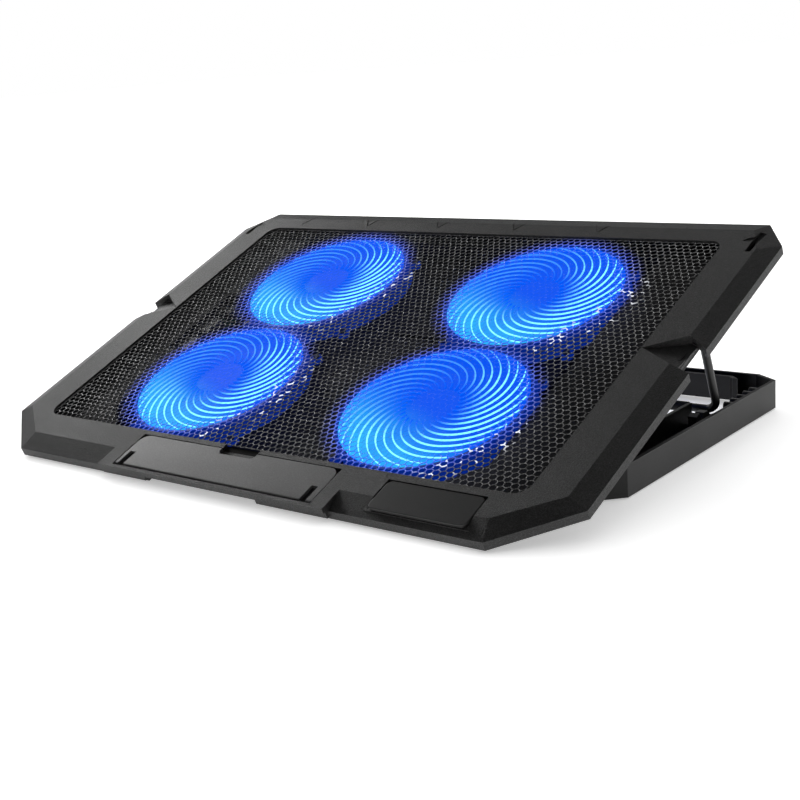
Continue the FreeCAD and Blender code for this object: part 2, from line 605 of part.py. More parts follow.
# ---------------------------------------------------------------- fans
def make_fan(name, x, y):
    """The frame, motor, light ring and rotor of one fan."""
    frame = new_body(f"{name}_fan_frame", ON_PAD)
    ears = [(x + number("ear_reach - 5") * math.cos(math.radians(angle)),
             y + number("ear_reach - 5") * math.sin(math.radians(angle))) for angle in ear_angles]
    raise_up(frame, circles(frame, [(f"{x}", f"{y}", "fan_outer")], f"{fan_base}"), "fan_tall")
    for ear_x, ear_y in ears:
        raise_up(frame, circles(frame, [(f"{ear_x:.4f}", f"{ear_y:.4f}", "ear_round")],
                                f"{fan_base}"), "3.0")
    cut_up(frame, circles(frame, [(f"{x}", f"{y}", "fan_inner")], f"{fan_base - 1}"), "fan_tall + 2")
    for ear_x, ear_y in ears:
        hole_x, hole_y = ear_x + (ear_x - x) * 0.012, ear_y + (ear_y - y) * 0.012
        cut_up(frame, circles(frame, [(f"{hole_x:.4f}", f"{hole_y:.4f}", "1.1")],
                              f"{fan_base - 1}"), "5")
    raise_up(frame, circles(frame, [(f"{x}", f"{y}", "coil_round + 1.5")], f"{fan_base}"), "fan_floor")
    for angle in (45, 135):
        turn = math.radians(angle)
        reach = number("fan_inner") + 0.5
        along = FreeCAD.Vector(math.cos(turn), math.sin(turn), 0) * reach
        aside = FreeCAD.Vector(-math.sin(turn), math.cos(turn), 0) * 1.6
        ends = [along + aside, aside - along, -along - aside, along - aside]
        raise_up(frame, polygon(frame, [(f"{x + end.x:.4f}", f"{y + end.y:.4f}") for end in ends],
                                f"{fan_base}"), "fan_floor")

    motor = new_body(f"{name}_fan_motor", ON_PAD)
    floor = f"{fan_base} + fan_floor"
    raise_up(motor, circles(motor, [(f"{x}", f"{y}", "coil_round")], floor), "coil_tall")
    cut_up(motor, circles(motor, [(f"{x}", f"{y}", "shaft_round + shaft_gap")],
                          floor + " + 0.8"), "coil_tall + 1")

    ring = new_body(f"{name}_light_ring", ON_PAD)
    raise_up(ring, circles(ring, [(f"{x}", f"{y}", "led_outer"), (f"{x}", f"{y}", "led_inner")], floor),
             "led_tall")

    spin = FreeCAD.Placement(FreeCAD.Vector(x, y, 0), FreeCAD.Rotation())
    rotor = new_body(f"{name}_rotor", ON_PAD.multiply(spin))
    raise_up(rotor, circles(rotor, [("0", "0", "hub_round")], "rotor_base"), "rotor_top - rotor_base")
    cut_up(rotor, circles(rotor, [("0", "0", "hub_round - hub_wall")], "rotor_base - 1"),
           "rotor_top - rotor_base + 1 - hub_wall")
    raise_up(rotor, circles(rotor, [("0", "0", "shaft_round")], floor + " + 1.2"),
             f"rotor_top - hub_wall - {fan_base} - fan_floor - 1.19")
    blade = raise_up(rotor, blade_outline(rotor), "rotor_top - rotor_base - 0.6")
    pattern = rotor.newObject("PartDesign::PolarPattern", rotor.Name + "_blades")
    pattern.Originals = [blade]
    pattern.Axis = (origin_plane(rotor, "Z_Axis"), [""])
    pattern.Angle = 360
    pattern.setExpression("Occurrences", bound("blade_count"))
    rotor.Tip = pattern
    doc.recompute()


def blade_outline(body):
    """One curved blade in plan, swept back as it leaves the hub."""
    start, stop = number("hub_round") - 0.8, number("rotor_round")
    steps = 6
    outer, inner = [], []
    for index in range(steps + 1):
        share = index / steps
        radius = start + (stop - start) * share
        angle = math.radians(62 * share ** 0.9)
        half = number("blade_sheet") / 2 / radius * 1.5
        outer.append((radius * math.cos(angle + half), radius * math.sin(angle + half)))
        inner.append((radius * math.cos(angle - half), radius * math.sin(angle - half)))
    corners = inner + outer[::-1]
    return polygon(body, [(f"{a:.4f}", f"{b:.4f}") for a, b in corners], "rotor_base")


# ---------------------------------------------------------------- small pieces of the pad
def make_pad_trim():
    """The plate, the stop and its pins, the sockets, board, button, bumpers and screws."""
    plate = new_body("name_plate", ON_PAD)
    raise_up(plate, rectangle(plate, "plate_left", "plate_right", "plate_front - 1.2", "plate_rear",
                              "pad_top - wall"), "plate_sheet")
    round_edges(plate, "3.5", upright)

    stop = new_body("laptop_stop", ON_PAD)
    low = "pad_top - 0.05 - stop_sheet"
    left, right = "stop_left + stop_gap", "stop_right - stop_gap"
    rear = "stop_rear - stop_gap"
    raise_up(stop, rectangle(stop, left, right, "stop_axis_back", rear, low), "stop_sheet")
    raise_up(stop, circles(stop, [("stop_axis_back", f"{stop_axis_z}", "stop_sheet / 2")], left,
                           "YZ_Plane"), "stop_right - stop_left - 2 * stop_gap")
    round_edges(stop, "stop_corner", lambda edge: upright(edge)
                and abs(edge.Vertexes[0].Y - number(rear)) < 0.01)
    for start in ("stop_left + 3", "stop_right - 4 - slot_wide"):
        cut_up(stop, rectangle(stop, start, start + " + slot_wide", "-2", "slot_long", low + " - 1"),
               "stop_sheet + 2")
    cut_up(stop, rectangle(stop, "notch_left", "notch_right", rear + " - notch_deep", rear + " + 1",
                           low + " - 1"), "stop_sheet + 2")
    notch_y = number(rear + " - notch_deep")
    round_edges(stop, "2.6", lambda edge: upright(edge) and abs(edge.Vertexes[0].Y - notch_y) < 0.01)
    cut_up(stop, circles(stop, [("stop_axis_back", f"{stop_axis_z}", f"{stop_pin} + shaft_gap")],
                         "stop_left - 1", "YZ_Plane"), "stop_right - stop_left + 2")
    axis_y = number("stop_axis_back")
    pins = [rod(stop_pin, 5.5, (number("stop_left - 3"), axis_y, stop_axis_z), (1, 0, 0)),
            rod(stop_pin, 6.0, (number("stop_right - 3"), axis_y, stop_axis_z), (1, 0, 0))]
    plain_solid("stop_pins", Part.makeCompound(pins), ON_PAD)

    face_x = -number("tray_half + port_out")
    board = box(face_x + 2.4, face_x + 16.0, 112, 168, fan_base + 0.1, fan_base + 1.5)
    plain_solid("control_board", board, ON_PAD)
    shells, tongues = [], []
    for y in socket_places:
        shell = box(face_x + 0.6, face_x + 14.6, y - 7.0, y + 7.0, socket_z - 2.85, socket_z + 3.15)
        shell = shell.cut(box(face_x, face_x + 11.0, y - 6.6, y + 6.6, socket_z - 2.45, socket_z + 2.75))
        shells.append(shell)
        tongues.append(box(face_x + 2.0, face_x + 11.0, y - 5.6, y + 5.6, socket_z + 0.4, socket_z + 2.0))
    plain_solid("usb_sockets", Part.makeCompound(shells), ON_PAD)
    plain_solid("usb_tongues", Part.makeCompound(tongues), ON_PAD)
    button = box(face_x - 1.8, face_x + 6.0, button_y - 3.9, button_y + 3.9, socket_z - 2.1, socket_z + 2.1)
    plain_solid("switch_button", button, ON_PAD)
    body = box(face_x + 8.5, face_x + 14.0, button_y - 4.2, button_y + 4.2, fan_base + 1.5, socket_z + 2.4)
    plain_solid("switch_body", body, ON_PAD)

    base, top = number("stand_top") + 0.15, number("rim_base")
    bumpers = [box(side * 179 - 5, side * 179 + 5, y - 7, y + 7, base, top)
               for side in (-1, 1) for y in (112.0, 243.0)]
    plain_solid("rest_bumpers", Part.makeCompound(bumpers), ON_PAD)

    screws = [rod(1.15, 5.0, (x, y, top + 0.0), (0, 0, 1)).fuse(rod(2.4, 1.2, (x, y, top - 1.2), (0, 0, 1)))
              for x, y in case_screws]
    plain_solid("case_screws", Part.makeCompound(screws), ON_PAD)
    reach = number("ear_reach - 5") * 1.012
    fasteners = []
    for name, x, y in fan_places:
        for angle in ear_angles:
            centre = (x + reach * math.cos(math.radians(angle)), y + reach * math.sin(math.radians(angle)))
            fasteners.append(rod(1.1, 3.0, (*centre, fan_base), (0, 0, 1)).fuse(
                rod(1.9, 1.1, (*centre, fan_base + 3.0), (0, 0, 1))))
    plain_solid("fan_screws", Part.makeCompound(fasteners), ON_PAD)


# ---------------------------------------------------------------- bail
def make_bail():
    """The wire prop: two pivot ends, two legs and a cross wire, bent from one length."""
    half, back, high = number("bail_half"), number("bail_back"), number("bail_pivot")
    bend, low, stub = number("bail_bend"), number("bail_pivot - bail_long"), number("bail_stub")
    small = 2.5

    def point(x, z):
        return FreeCAD.Vector(x, back, z)

    def corner(x, z, radius, across, up):
        """The arc that rounds the corner at x, z, whose runs go towards across and up."""
        middle = (1 - math.sqrt(0.5)) * radius
        ends = (point(x + across * radius, z), point(x, z + up * radius))
        return Part.Arc(ends[0], point(x + across * middle, z + up * middle), ends[1]).toShape()

    edges = []
    for side in (-1, 1):
        x = side * half
        edges.append(Part.LineSegment(point(x + side * stub, high), point(x + side * small, high)).toShape())
        edges.append(corner(x, high, small, side, -1))
        edges.append(Part.LineSegment(point(x, high - small), point(x, low + bend)).toShape())
        edges.append(corner(x, low, bend, -side, 1))
    edges.append(Part.LineSegment(point(-half + bend, low), point(half - bend, low)).toShape())
    path = Part.Wire(Part.__sortEdges__(edges))
    first = path.OrderedVertexes[0].Point
    circle = Part.Circle(first, FreeCAD.Vector(1, 0, 0), number("bail_wire"))
    wire = path.makePipeShell([Part.Wire(circle.toShape())], True, False, 0)
    if abs(wire.Volume / (math.pi * number("bail_wire") ** 2 * path.Length) - 1) > 0.02:
        raise RuntimeError("the bail has the wrong volume")
    plain_solid("prop_bail", wire, ON_PAD)
    grips = []
    for side in (-1, 1):
        x = side * (half - bend - 16)
        sleeve = rod(number("bail_wire") + 0.5, 12, (x - 6, back, low), (1, 0, 0))
        grips.append(sleeve.cut(rod(number("bail_wire"), 12, (x - 6, back, low), (1, 0, 0))))
    plain_solid("bail_grips", Part.makeCompound(grips), ON_PAD)


# ---------------------------------------------------------------- stand
def stand_outline(inset):
    """The outer line of the stand, moved in by an expression."""
    return mirrored([
        (f"stand_front_half - {inset}", f"stand_front + {inset}"),
        (f"stand_front_half - {inset}", f"stand_shoulder - stand_half + stand_front_half + {inset} * 0.414"),
        (f"stand_half - {inset}", f"stand_shoulder + {inset} * 0.414"),
        (f"stand_half - {inset}", f"stand_side_rear - {inset} / 2"),
        (f"stand_rear_half - {inset} / 2", f"stand_rear - {inset}"),
    ])


def bay_outline(grow):
    """The open middle of the stand, moved out by an expression."""
    return mirrored([
        (f"126 + {grow} / 2", f"bar_rear - {grow}"),
        (f"rail_half + {grow}", f"bar_rear + 30 - {grow} / 2"),
        (f"rail_half + {grow}", "rail_rear"),
        (f"rack_bay + {grow}", "rail_rear"),
        (f"rack_bay + {grow}", f"stand_side_rear - 8.5 + {grow} / 2"),
        (f"rail_half - 3.5 + {grow} / 2", f"stand_rear - 8.6 + {grow}"),
    ])


def make_stand():
    """The open frame: a channel section round three sides, and a low bar with the hinge lugs."""
    body = new_body("stand_frame", ON_STAND)
    raise_up(body, polygon(body, stand_outline("0"), "stand_base"), "stand_top - stand_base")
    cut_up(body, polygon(body, stand_outline("wall"), "stand_base - 1"), "stand_floor - stand_base + 1")
    cut_up(body, polygon(body, stand_outline("wall"), "stand_floor + wall"), "stand_top")
    rails = [corner for corner in bay_outline("wall")]
    raise_up(body, polygon(body, rails, "stand_floor + wall - 0.01"), "rail_top - stand_floor - wall + 0.01")
    cut_up(body, polygon(body, bay_outline("0"), "stand_base - 1"), "stand_top + 1")
    # the rails are low in front, under the fan tray, and stop short of the racks
    cut_up(body, rectangle(body, "-rail_half - 8", "rail_half + 8", "stand_front + wall",
                           "bar_rear + 34", "stand_floor + wall"), "stand_top")
    for left, right in (("rail_half - 6", "rack_bay + wall + 1"),
                        ("-rack_bay - wall - 1", "-rail_half + 6")):
        cut_up(body, rectangle(body, left, right, "rail_rear", "stand_rear - 11.4",
                               "stand_floor + wall"), "stand_top")
    # the front wall is low, so that the lowered fan tray passes over it
    cut_up(body, rectangle(body, "-stand_front_half + wall", "stand_front_half - wall", "stand_front - 1",
                           "stand_front + wall + 1", "bar_top"), "stand_top")
    for side in (-1, 1):
        left, right = sorted((side * number("lug_inner"), side * number("lug_inner + lug_sheet")))
        raise_up(body, rectangle(body, f"{left}", f"{right}", "hinge_back - hinge_round",
                                 "hinge_back + hinge_round", "stand_floor"),
                 "hinge_height - stand_floor")
        raise_up(body, circles(body, [("hinge_back", "hinge_height", "hinge_round")], f"{left}",
                               "YZ_Plane"), f"{right - left}")
        left, right = sorted((side * number("lug_inner + lug_sheet"),
                              side * number("stand_front_half - wall")))
        cut_up(body, rectangle(body, f"{left}", f"{right}", "hinge_back - hinge_round - 0.5",
                               "hinge_back + hinge_round + 0.5", "stand_base"), "stand_floor + wall")
        left, right = sorted((side * number("lug_inner - 1"), side * number("stand_front_half + 1")))
        cut_up(body, circles(body, [("hinge_back", "hinge_height", "hinge_pin")], f"{left}", "YZ_Plane"),
               f"{right - left}")
    pins = [rod(number("hinge_pin"), number("stand_front_half - lug_inner"),
                (side * number("lug_inner"), hinge_y, hinge_z), (side, 0, 0)) for side in (-1, 1)]
    plain_solid("hinge_pins", Part.makeCompound(pins), ON_STAND)


def foot_path(share):
    """Where the cross wire is, as y and z, when the pad has come down by a share of its tilt."""
    swing = math.radians(number("bail_swing")) * share
    angle = lean * (1 - share)
    y = number("bail_back") + number("bail_long") * math.sin(swing)
    z = number("bail_pivot") - number("bail_long") * math.cos(swing)
    across, rise = y - hinge_y, z - hinge_z
    return (hinge_y + across * math.cos(angle) - rise * math.sin(angle),
            hinge_z + across * math.sin(angle) + rise * math.cos(angle))


def wire_clearance(y):
    """The lowest height of the underside of the cross wire while it passes over y."""
    steps = 200
    path = [foot_path(index / steps) for index in range(steps + 1)]
    passing = [z for place, z in path if abs(place - y) < number("bail_wire")]
    return min(passing or [path[-1][1]]) - number("bail_wire") - 0.35


def make_racks():
    """A rack at each side: a seat for the cross wire, shallow steps behind it, and a comb."""
    floor = number("stand_floor + wall")
    front, rear = number("rack_front"), number("rack_rear")
    seat_y, seat_z = foot_path(0)
    seat_z -= number("bail_wire") + 0.3
    steps = []
    pitch = 6.0
    y = seat_y + 3.0
    while y < rear - pitch:
        steps.append((y, wire_clearance(y)))
        steps.append((y + 3.6, wire_clearance(y + 3.6)))
        steps.append((y + 4.4, wire_clearance(y + 4.4) - 0.8))
        y += pitch
    low = [(front, floor), (front, 8.6), (seat_y - 4.0, 8.6), (seat_y, seat_z)] + steps
    tall = [(front, floor), (front, 12.6), (front + 3.5, 14.0), (front + 5.5, 10.6), (front + 7.0, 10.6),
            (front + 8.6, 13.0), (seat_y - 5.6, 13.0), (seat_y - 2.9, seat_z + 0.7), (seat_y, seat_z)] + steps
    ending = [(rear, floor + 0.4), (rear, floor)]
    inner, outer = number("rack_bay"), number("rack_outer")
    split, comb_x = number("rack_split"), number("comb_inner")
    rack = box(comb_x, outer, seat_y + 1, rear, floor, floor + 5.0)
    for x, width, profile in ((inner, split - inner, tall + ending), (split, comb_x - split, low + ending)):
        outline = [FreeCAD.Vector(x, a, b if b == floor else max(b, floor + 0.3)) for a, b in profile]
        face = Part.Face(Part.makePolygon(outline + outline[:1]))
        rack = rack.fuse(face.extrude(FreeCAD.Vector(width, 0, 0)))
    for index in range(5):
        tooth_y = seat_y + 1.0 + index * 8.0
        rack = rack.fuse(box(comb_x, outer, tooth_y, tooth_y + 4.0, floor, 14.4))
        rack = rack.fuse(rod(2.0, outer - comb_x, (comb_x, tooth_y + 2.0, 14.4), (1, 0, 0)))
    rack = rack.removeSplitter()
    plain_solid("right_rack", rack, ON_STAND)
    plain_solid("left_rack", rack.mirror(FreeCAD.Vector(0, 0, 0), FreeCAD.Vector(1, 0, 0)), ON_STAND)


def make_stand_trim():
    """Rubber feet under the stand, and the screws that hold the racks."""
    floor = number("stand_floor")
    feet = [rod(6.0, floor, (side * 168, y, 0), (0, 0, 1)) for side in (-1, 1) for y in (100, 176, 244)]
    feet += [rod(3.0, floor, (side * 60, number("stand_rear") - 5.4, 0), (0, 0, 1)) for side in (-1, 1)]
    feet += [rod(4.5, floor, (side * 100, 49.5, 0), (0, 0, 1)) for side in (-1, 1)]
    plain_solid("stand_feet", Part.makeCompound(feet), ON_STAND)


make_top_cover()
make_mesh_panel()
make_bottom_cover()
for place in fan_places:
    make_fan(*place)
make_pad_trim()
make_bail()
make_stand()
make_racks()
make_stand_trim()

# ---------------------------------------------------------------- checks and export
doc.recompute()
for item in doc.Objects:
    if "Invalid" in item.State or "Error" in item.State:
        raise RuntimeError(f"{item.Label} did not recompute")
os.makedirs("parts", exist_ok=True)
bounds = FreeCAD.BoundBox()
for piece in pieces:
    shape = piece.Shape
    if shape.isNull() or not shape.isValid() or not shape.Solids:
        raise RuntimeError(f"{piece.Label} has no valid solid")
    bounds.add(shape.BoundBox)
    shape.exportStep(f"parts/{piece.Label}.step")
    print(f"{piece.Label}: {len(shape.Solids)} solids, {shape.Volume / 1000:.2f} cm3")
print(f"{len(pieces)} nodes, x {bounds.XMin:.2f} to {bounds.XMax:.2f}, y {bounds.YMin:.2f} to {bounds.YMax:.2f}, "
      f"z {bounds.ZMin:.2f} to {bounds.ZMax:.2f}")
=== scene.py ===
import json
import math

import bmesh
import bpy
import numpy as np
from mathutils import Matrix, Vector


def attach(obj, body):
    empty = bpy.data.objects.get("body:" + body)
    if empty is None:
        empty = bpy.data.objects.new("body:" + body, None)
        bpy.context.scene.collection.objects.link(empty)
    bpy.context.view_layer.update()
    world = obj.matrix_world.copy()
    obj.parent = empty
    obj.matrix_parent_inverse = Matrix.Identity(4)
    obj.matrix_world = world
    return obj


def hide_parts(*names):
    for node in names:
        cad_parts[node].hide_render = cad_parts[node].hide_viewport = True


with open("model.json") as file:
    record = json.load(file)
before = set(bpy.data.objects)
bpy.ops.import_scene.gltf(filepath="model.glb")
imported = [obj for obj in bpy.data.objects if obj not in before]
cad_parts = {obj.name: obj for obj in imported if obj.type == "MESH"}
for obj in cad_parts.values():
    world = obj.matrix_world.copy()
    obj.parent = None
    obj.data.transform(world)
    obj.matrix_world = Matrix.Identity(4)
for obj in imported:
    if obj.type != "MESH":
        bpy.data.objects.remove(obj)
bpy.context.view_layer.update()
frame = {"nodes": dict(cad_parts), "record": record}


# --- Folding stand -----------------------------------------------------------------------------
# An injection-moulded U of glass-filled nylon that stays on the desk: two deep side rails, a low
# rear bar and a floor strip at the front. Its rounded arrises are painted lighter: a painted
# highlight, with wear.

BODY_OF = {node: body for body, nodes in frame["record"]["behaviour"]["bodies"].items()
           for node in nodes}


def grain_group():
    """Spark-eroded mould grain.

    Height is fine noise; colour and roughness drift with a coarse noise of hand-sized patches.
    """
    group = bpy.data.node_groups.new("moulded_grain", "ShaderNodeTree")
    sockets = (
        ("Colour", "INPUT", "NodeSocketColor"), ("Patch Colour", "INPUT", "NodeSocketColor"),
        ("Grain", "INPUT", "NodeSocketFloat"), ("Roughness", "INPUT", "NodeSocketFloat"),
        ("Gloss Drift", "INPUT", "NodeSocketFloat"), ("Colour", "OUTPUT", "NodeSocketColor"),
        ("Roughness", "OUTPUT", "NodeSocketFloat"), ("Height", "OUTPUT", "NodeSocketFloat"))
    for name, side, kind in sockets:
        group.interface.new_socket(name, in_out=side, socket_type=kind)
    nodes, links = group.nodes, group.links
    given, put = nodes.new("NodeGroupInput"), nodes.new("NodeGroupOutput")
    place = nodes.new("ShaderNodeTexCoord")
    fine, patch = nodes.new("ShaderNodeTexNoise"), nodes.new("ShaderNodeTexNoise")
    fine.inputs["Detail"].default_value = 3.0
    fine.inputs["Roughness"].default_value = 0.7
    patch.inputs["Scale"].default_value = 26.0
    patch.inputs["Detail"].default_value = 4.0
    links.new(place.outputs["Object"], fine.inputs["Vector"])
    links.new(place.outputs["Object"], patch.inputs["Vector"])
    links.new(given.outputs["Grain"], fine.inputs["Scale"])
    fleck = nodes.new("ShaderNodeMapRange")
    fleck.inputs["From Min"].default_value = 0.42
    fleck.inputs["From Max"].default_value = 0.72
    links.new(fine.outputs["Fac"], fleck.inputs["Value"])
    swing = nodes.new("ShaderNodeMath")
    swing.operation = "SUBTRACT"
    swing.inputs[1].default_value = 0.5
    links.new(patch.outputs["Fac"], swing.inputs[0])
    both = nodes.new("ShaderNodeMath")
    both.operation = "MULTIPLY_ADD"
    both.inputs[1].default_value = 0.9
    links.new(fleck.outputs["Result"], both.inputs[0])
    links.new(swing.outputs[0], both.inputs[2])
    blend = nodes.new("ShaderNodeMix")
    blend.data_type = "RGBA"
    links.new(both.outputs[0], blend.inputs["Factor"])
    links.new(given.outputs["Colour"], blend.inputs["A"])
    links.new(given.outputs["Patch Colour"], blend.inputs["B"])
    gloss = nodes.new("ShaderNodeMath")
    gloss.operation = "MULTIPLY_ADD"
    links.new(swing.outputs[0], gloss.inputs[0])
    links.new(given.outputs["Gloss Drift"], gloss.inputs[1])
    links.new(given.outputs["Roughness"], gloss.inputs[2])
    links.new(blend.outputs["Result"], put.inputs["Colour"])
    links.new(gloss.outputs[0], put.inputs["Roughness"])
    links.new(fine.outputs["Fac"], put.inputs["Height"])
    return group


def edge_highlight_and_wear_group():
    """Arrises painted lighter: a painted highlight along each edge, together with rubbed wear.

    The mask is one less the cosine between the true normal and the normal rounded over Width,
    scaled up and broken by noise; the colour is mixed by it.
    """
    group = bpy.data.node_groups.new("painted_edge_highlight_and_wear", "ShaderNodeTree")
    sockets = (
        ("Colour", "INPUT", "NodeSocketColor"), ("Edge Colour", "INPUT", "NodeSocketColor"),
        ("Width", "INPUT", "NodeSocketFloat"), ("Amount", "INPUT", "NodeSocketFloat"),
        ("Colour", "OUTPUT", "NodeSocketColor"))
    for name, side, kind in sockets:
        group.interface.new_socket(name, in_out=side, socket_type=kind)
    nodes, links = group.nodes, group.links
    given, put = nodes.new("NodeGroupInput"), nodes.new("NodeGroupOutput")
    rounded, true = nodes.new("ShaderNodeBevel"), nodes.new("ShaderNodeNewGeometry")
    links.new(given.outputs["Width"], rounded.inputs["Radius"])
    cosine = nodes.new("ShaderNodeVectorMath")
    cosine.operation = "DOT_PRODUCT"
    links.new(rounded.outputs["Normal"], cosine.inputs[0])
    links.new(true.outputs["Normal"], cosine.inputs[1])
    turn = nodes.new("ShaderNodeMapRange")
    for name, value in (("From Min", 0.995), ("From Max", 0.86), ("To Min", 0.0), ("To Max", 1.0)):
        turn.inputs[name].default_value = value
    links.new(cosine.outputs["Value"], turn.inputs["Value"])
    place, patch = nodes.new("ShaderNodeTexCoord"), nodes.new("ShaderNodeTexNoise")
    patch.inputs["Scale"].default_value = 90.0
    links.new(place.outputs["Object"], patch.inputs["Vector"])
    edge_lit, much = nodes.new("ShaderNodeMath"), nodes.new("ShaderNodeMath")
    edge_lit.operation = much.operation = "MULTIPLY"
    links.new(turn.outputs["Result"], edge_lit.inputs[0])
    links.new(patch.outputs["Fac"], edge_lit.inputs[1])
    links.new(edge_lit.outputs[0], much.inputs[0])
    links.new(given.outputs["Amount"], much.inputs[1])
    blend = nodes.new("ShaderNodeMix")
    blend.data_type = "RGBA"
    links.new(much.outputs[0], blend.inputs["Factor"])
    links.new(given.outputs["Colour"], blend.inputs["A"])
    links.new(given.outputs["Edge Colour"], blend.inputs["B"])
    links.new(blend.outputs["Result"], put.inputs["Colour"])
    return group


GRAIN, EDGE_HIGHLIGHT_AND_WEAR = grain_group(), edge_highlight_and_wear_group()


def grey(value):
    """An opaque neutral of one linear value."""
    return (value, value, value, 1.0)


def grained(name, colour, patch, grain, depth, roughness, drift=0.1, edge=None, edge_width=0.0005,
            edge_amount=1.0, metallic=0.0, specular=0.5):
    """A finish with mould grain: grain is its frequency per metre, depth its height in metres."""
    finish = bpy.data.materials.new(name)
    finish.use_nodes = True
    nodes, links = finish.node_tree.nodes, finish.node_tree.links
    shader = nodes["Principled BSDF"]
    shader.inputs["Metallic"].default_value = metallic
    shader.inputs["Specular IOR Level"].default_value = specular
    surface = nodes.new("ShaderNodeGroup")
    surface.node_tree = GRAIN
    surface.inputs["Colour"].default_value = colour
    surface.inputs["Patch Colour"].default_value = patch
    surface.inputs["Grain"].default_value = grain
    surface.inputs["Roughness"].default_value = roughness
    surface.inputs["Gloss Drift"].default_value = drift
    shade = surface.outputs["Colour"]
    # the edge colour paints the arrises lighter: a painted highlight along them, with rubbed wear
    if edge:
        edge_light = nodes.new("ShaderNodeGroup")
        edge_light.node_tree = EDGE_HIGHLIGHT_AND_WEAR
        edge_light.inputs["Edge Colour"].default_value = edge
        edge_light.inputs["Width"].default_value = edge_width
        edge_light.inputs["Amount"].default_value = edge_amount
        links.new(shade, edge_light.inputs["Colour"])
        shade = edge_light.outputs["Colour"]
    links.new(shade, shader.inputs["Base Color"])
    links.new(surface.outputs["Roughness"], shader.inputs["Roughness"])
    bump = nodes.new("ShaderNodeBump")
    bump.inputs["Strength"].default_value = 1.0
    bump.inputs["Distance"].default_value = depth
    links.new(surface.outputs["Height"], bump.inputs["Height"])
    links.new(bump.outputs["Normal"], shader.inputs["Normal"])
    return finish


def dress(piece, finish):
    """Give a piece this one finish in place of its own."""
    piece.data.materials.clear()
    piece.data.materials.append(finish)
    return piece


def rounded_copy(node, name, finish, radius, angle=28.0, segments=2):
    """A CAD node with its arrises rounded: triangles merged, flat ones joined, then bevelled."""
    merge_distance, flat_within, sharp_from = 2e-6, math.radians(0.4), math.radians(9)
    mesh = frame["nodes"][node].data.copy()
    if "custom_normal" in mesh.attributes:
        mesh.attributes.remove(mesh.attributes["custom_normal"])
    shape = bmesh.new()
    shape.from_mesh(mesh)
    bmesh.ops.remove_doubles(shape, verts=shape.verts, dist=merge_distance)
    bmesh.ops.dissolve_degenerate(shape, edges=shape.edges, dist=merge_distance)
    bmesh.ops.dissolve_limit(shape, angle_limit=flat_within, verts=shape.verts, edges=shape.edges)
    for face in shape.faces:
        face.smooth = True
    for edge in shape.edges:
        edge.smooth = edge.calc_face_angle(0.0) < sharp_from
    shape.to_mesh(mesh)
    shape.free()
    piece = bpy.data.objects.new(name, mesh)
    bpy.context.scene.collection.objects.link(piece)
    dress(piece, finish)
    bevel = piece.modifiers.new("rounded arris", "BEVEL")
    bevel.width = radius
    bevel.segments = segments
    bevel.limit_method = "ANGLE"
    bevel.angle_limit = math.radians(angle)
    bevel.miter_outer = "MITER_ARC"
    bevel.harden_normals = True
    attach(piece, BODY_OF[node])
    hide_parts(node)
    return piece


stand_finish = grained("stand_nylon", grey(0.006), grey(0.011), 1900, 0.00006, 0.48, 0.12,
                       specular=0.35, edge=grey(0.15), edge_width=0.0007)
rounded_copy("stand_frame", "stand_shell", stand_finish, 0.0004)

# The racks are separate acetal combs pressed into the rails; the prop's foot rests in their teeth.
# The hinge pins are turned steel, and the feet are pressed-in rubber pads.
rack_finish = grained("rack_acetal", grey(0.026), grey(0.040), 3400, 0.00003, 0.36, 0.1,
                      edge=grey(0.16), edge_width=0.0006)
for side in ("left", "right"):
    rounded_copy(f"{side}_rack", f"{side}_prop_rack", rack_finish, 0.0003)
steel_finish = grained("turned_steel", grey(0.42), grey(0.55), 5200, 0.00001, 0.28, 0.1,
                       metallic=1.0, edge=grey(0.7))
rubber_finish = grained("pad_rubber", grey(0.016), grey(0.024), 3800, 0.00004, 0.82, 0.1,
                        specular=0.3)
dress(frame["nodes"]["hinge_pins"], steel_finish)
dress(frame["nodes"]["stand_feet"], rubber_finish)


# --- Fan tray ----------------------------------------------------------------------------------
# The bottom cover is a thin moulding of ABS with the guard rings of the four fans moulded in. It
# is screwed up into the top cover and carries the fans, the board and the sockets.

tray_finish = grained("tray_abs", grey(0.005), grey(0.009), 1900, 0.00006, 0.58, 0.12,
                      specular=0.3, edge=grey(0.07), edge_width=0.0006)
rounded_copy("bottom_cover", "fan_tray", tray_finish, 0.0003, angle=35, segments=1)


# --- Fans --------------------------------------------------------------------------------------
# Each fan is a thin frame with a motor on spokes and a translucent impeller. Blue diodes under it
# feed a clear disc with fine curved vanes, which carry the light out and glow along their edges.

TILT = math.radians(21.4)
HINGE = (48.6, 7.2)
CENTRE_Y = 128.711
FAN_PLACES = {"front_left": (-76.0, 86.5), "front_right": (76.0, 86.5),
              "rear_left": (-76.0, 191.5), "rear_right": (76.0, 191.5)}


def on_pad(x, v, z):
    """Folded-pad millimetres to metres at rest: turned about the hinge, then centred."""
    x, v, z = np.broadcast_arrays(*(np.asarray(given, float) for given in (x, v, z)))
    along, up = v - HINGE[0], z - HINGE[1]
    y = HINGE[0] + along * math.cos(TILT) - up * math.sin(TILT) - CENTRE_Y
    height = HINGE[1] + along * math.sin(TILT) + up * math.cos(TILT)
    return np.stack([x, y, height], axis=-1).reshape(-1, 3) * 0.001


def grid_faces(rows, columns, first=0, close_columns=True):
    """Quads of a grid numbered row by row, with the last column joined to the first if closed."""
    wide = columns if close_columns else columns - 1
    row, column = np.meshgrid(np.arange(rows - 1), np.arange(wide), indexing="ij")
    beside = (column + 1) % columns
    quads = np.stack([row * columns + column, row * columns + beside,
                      (row + 1) * columns + beside, (row + 1) * columns + column], axis=-1)
    return quads.reshape(-1, 4) + first


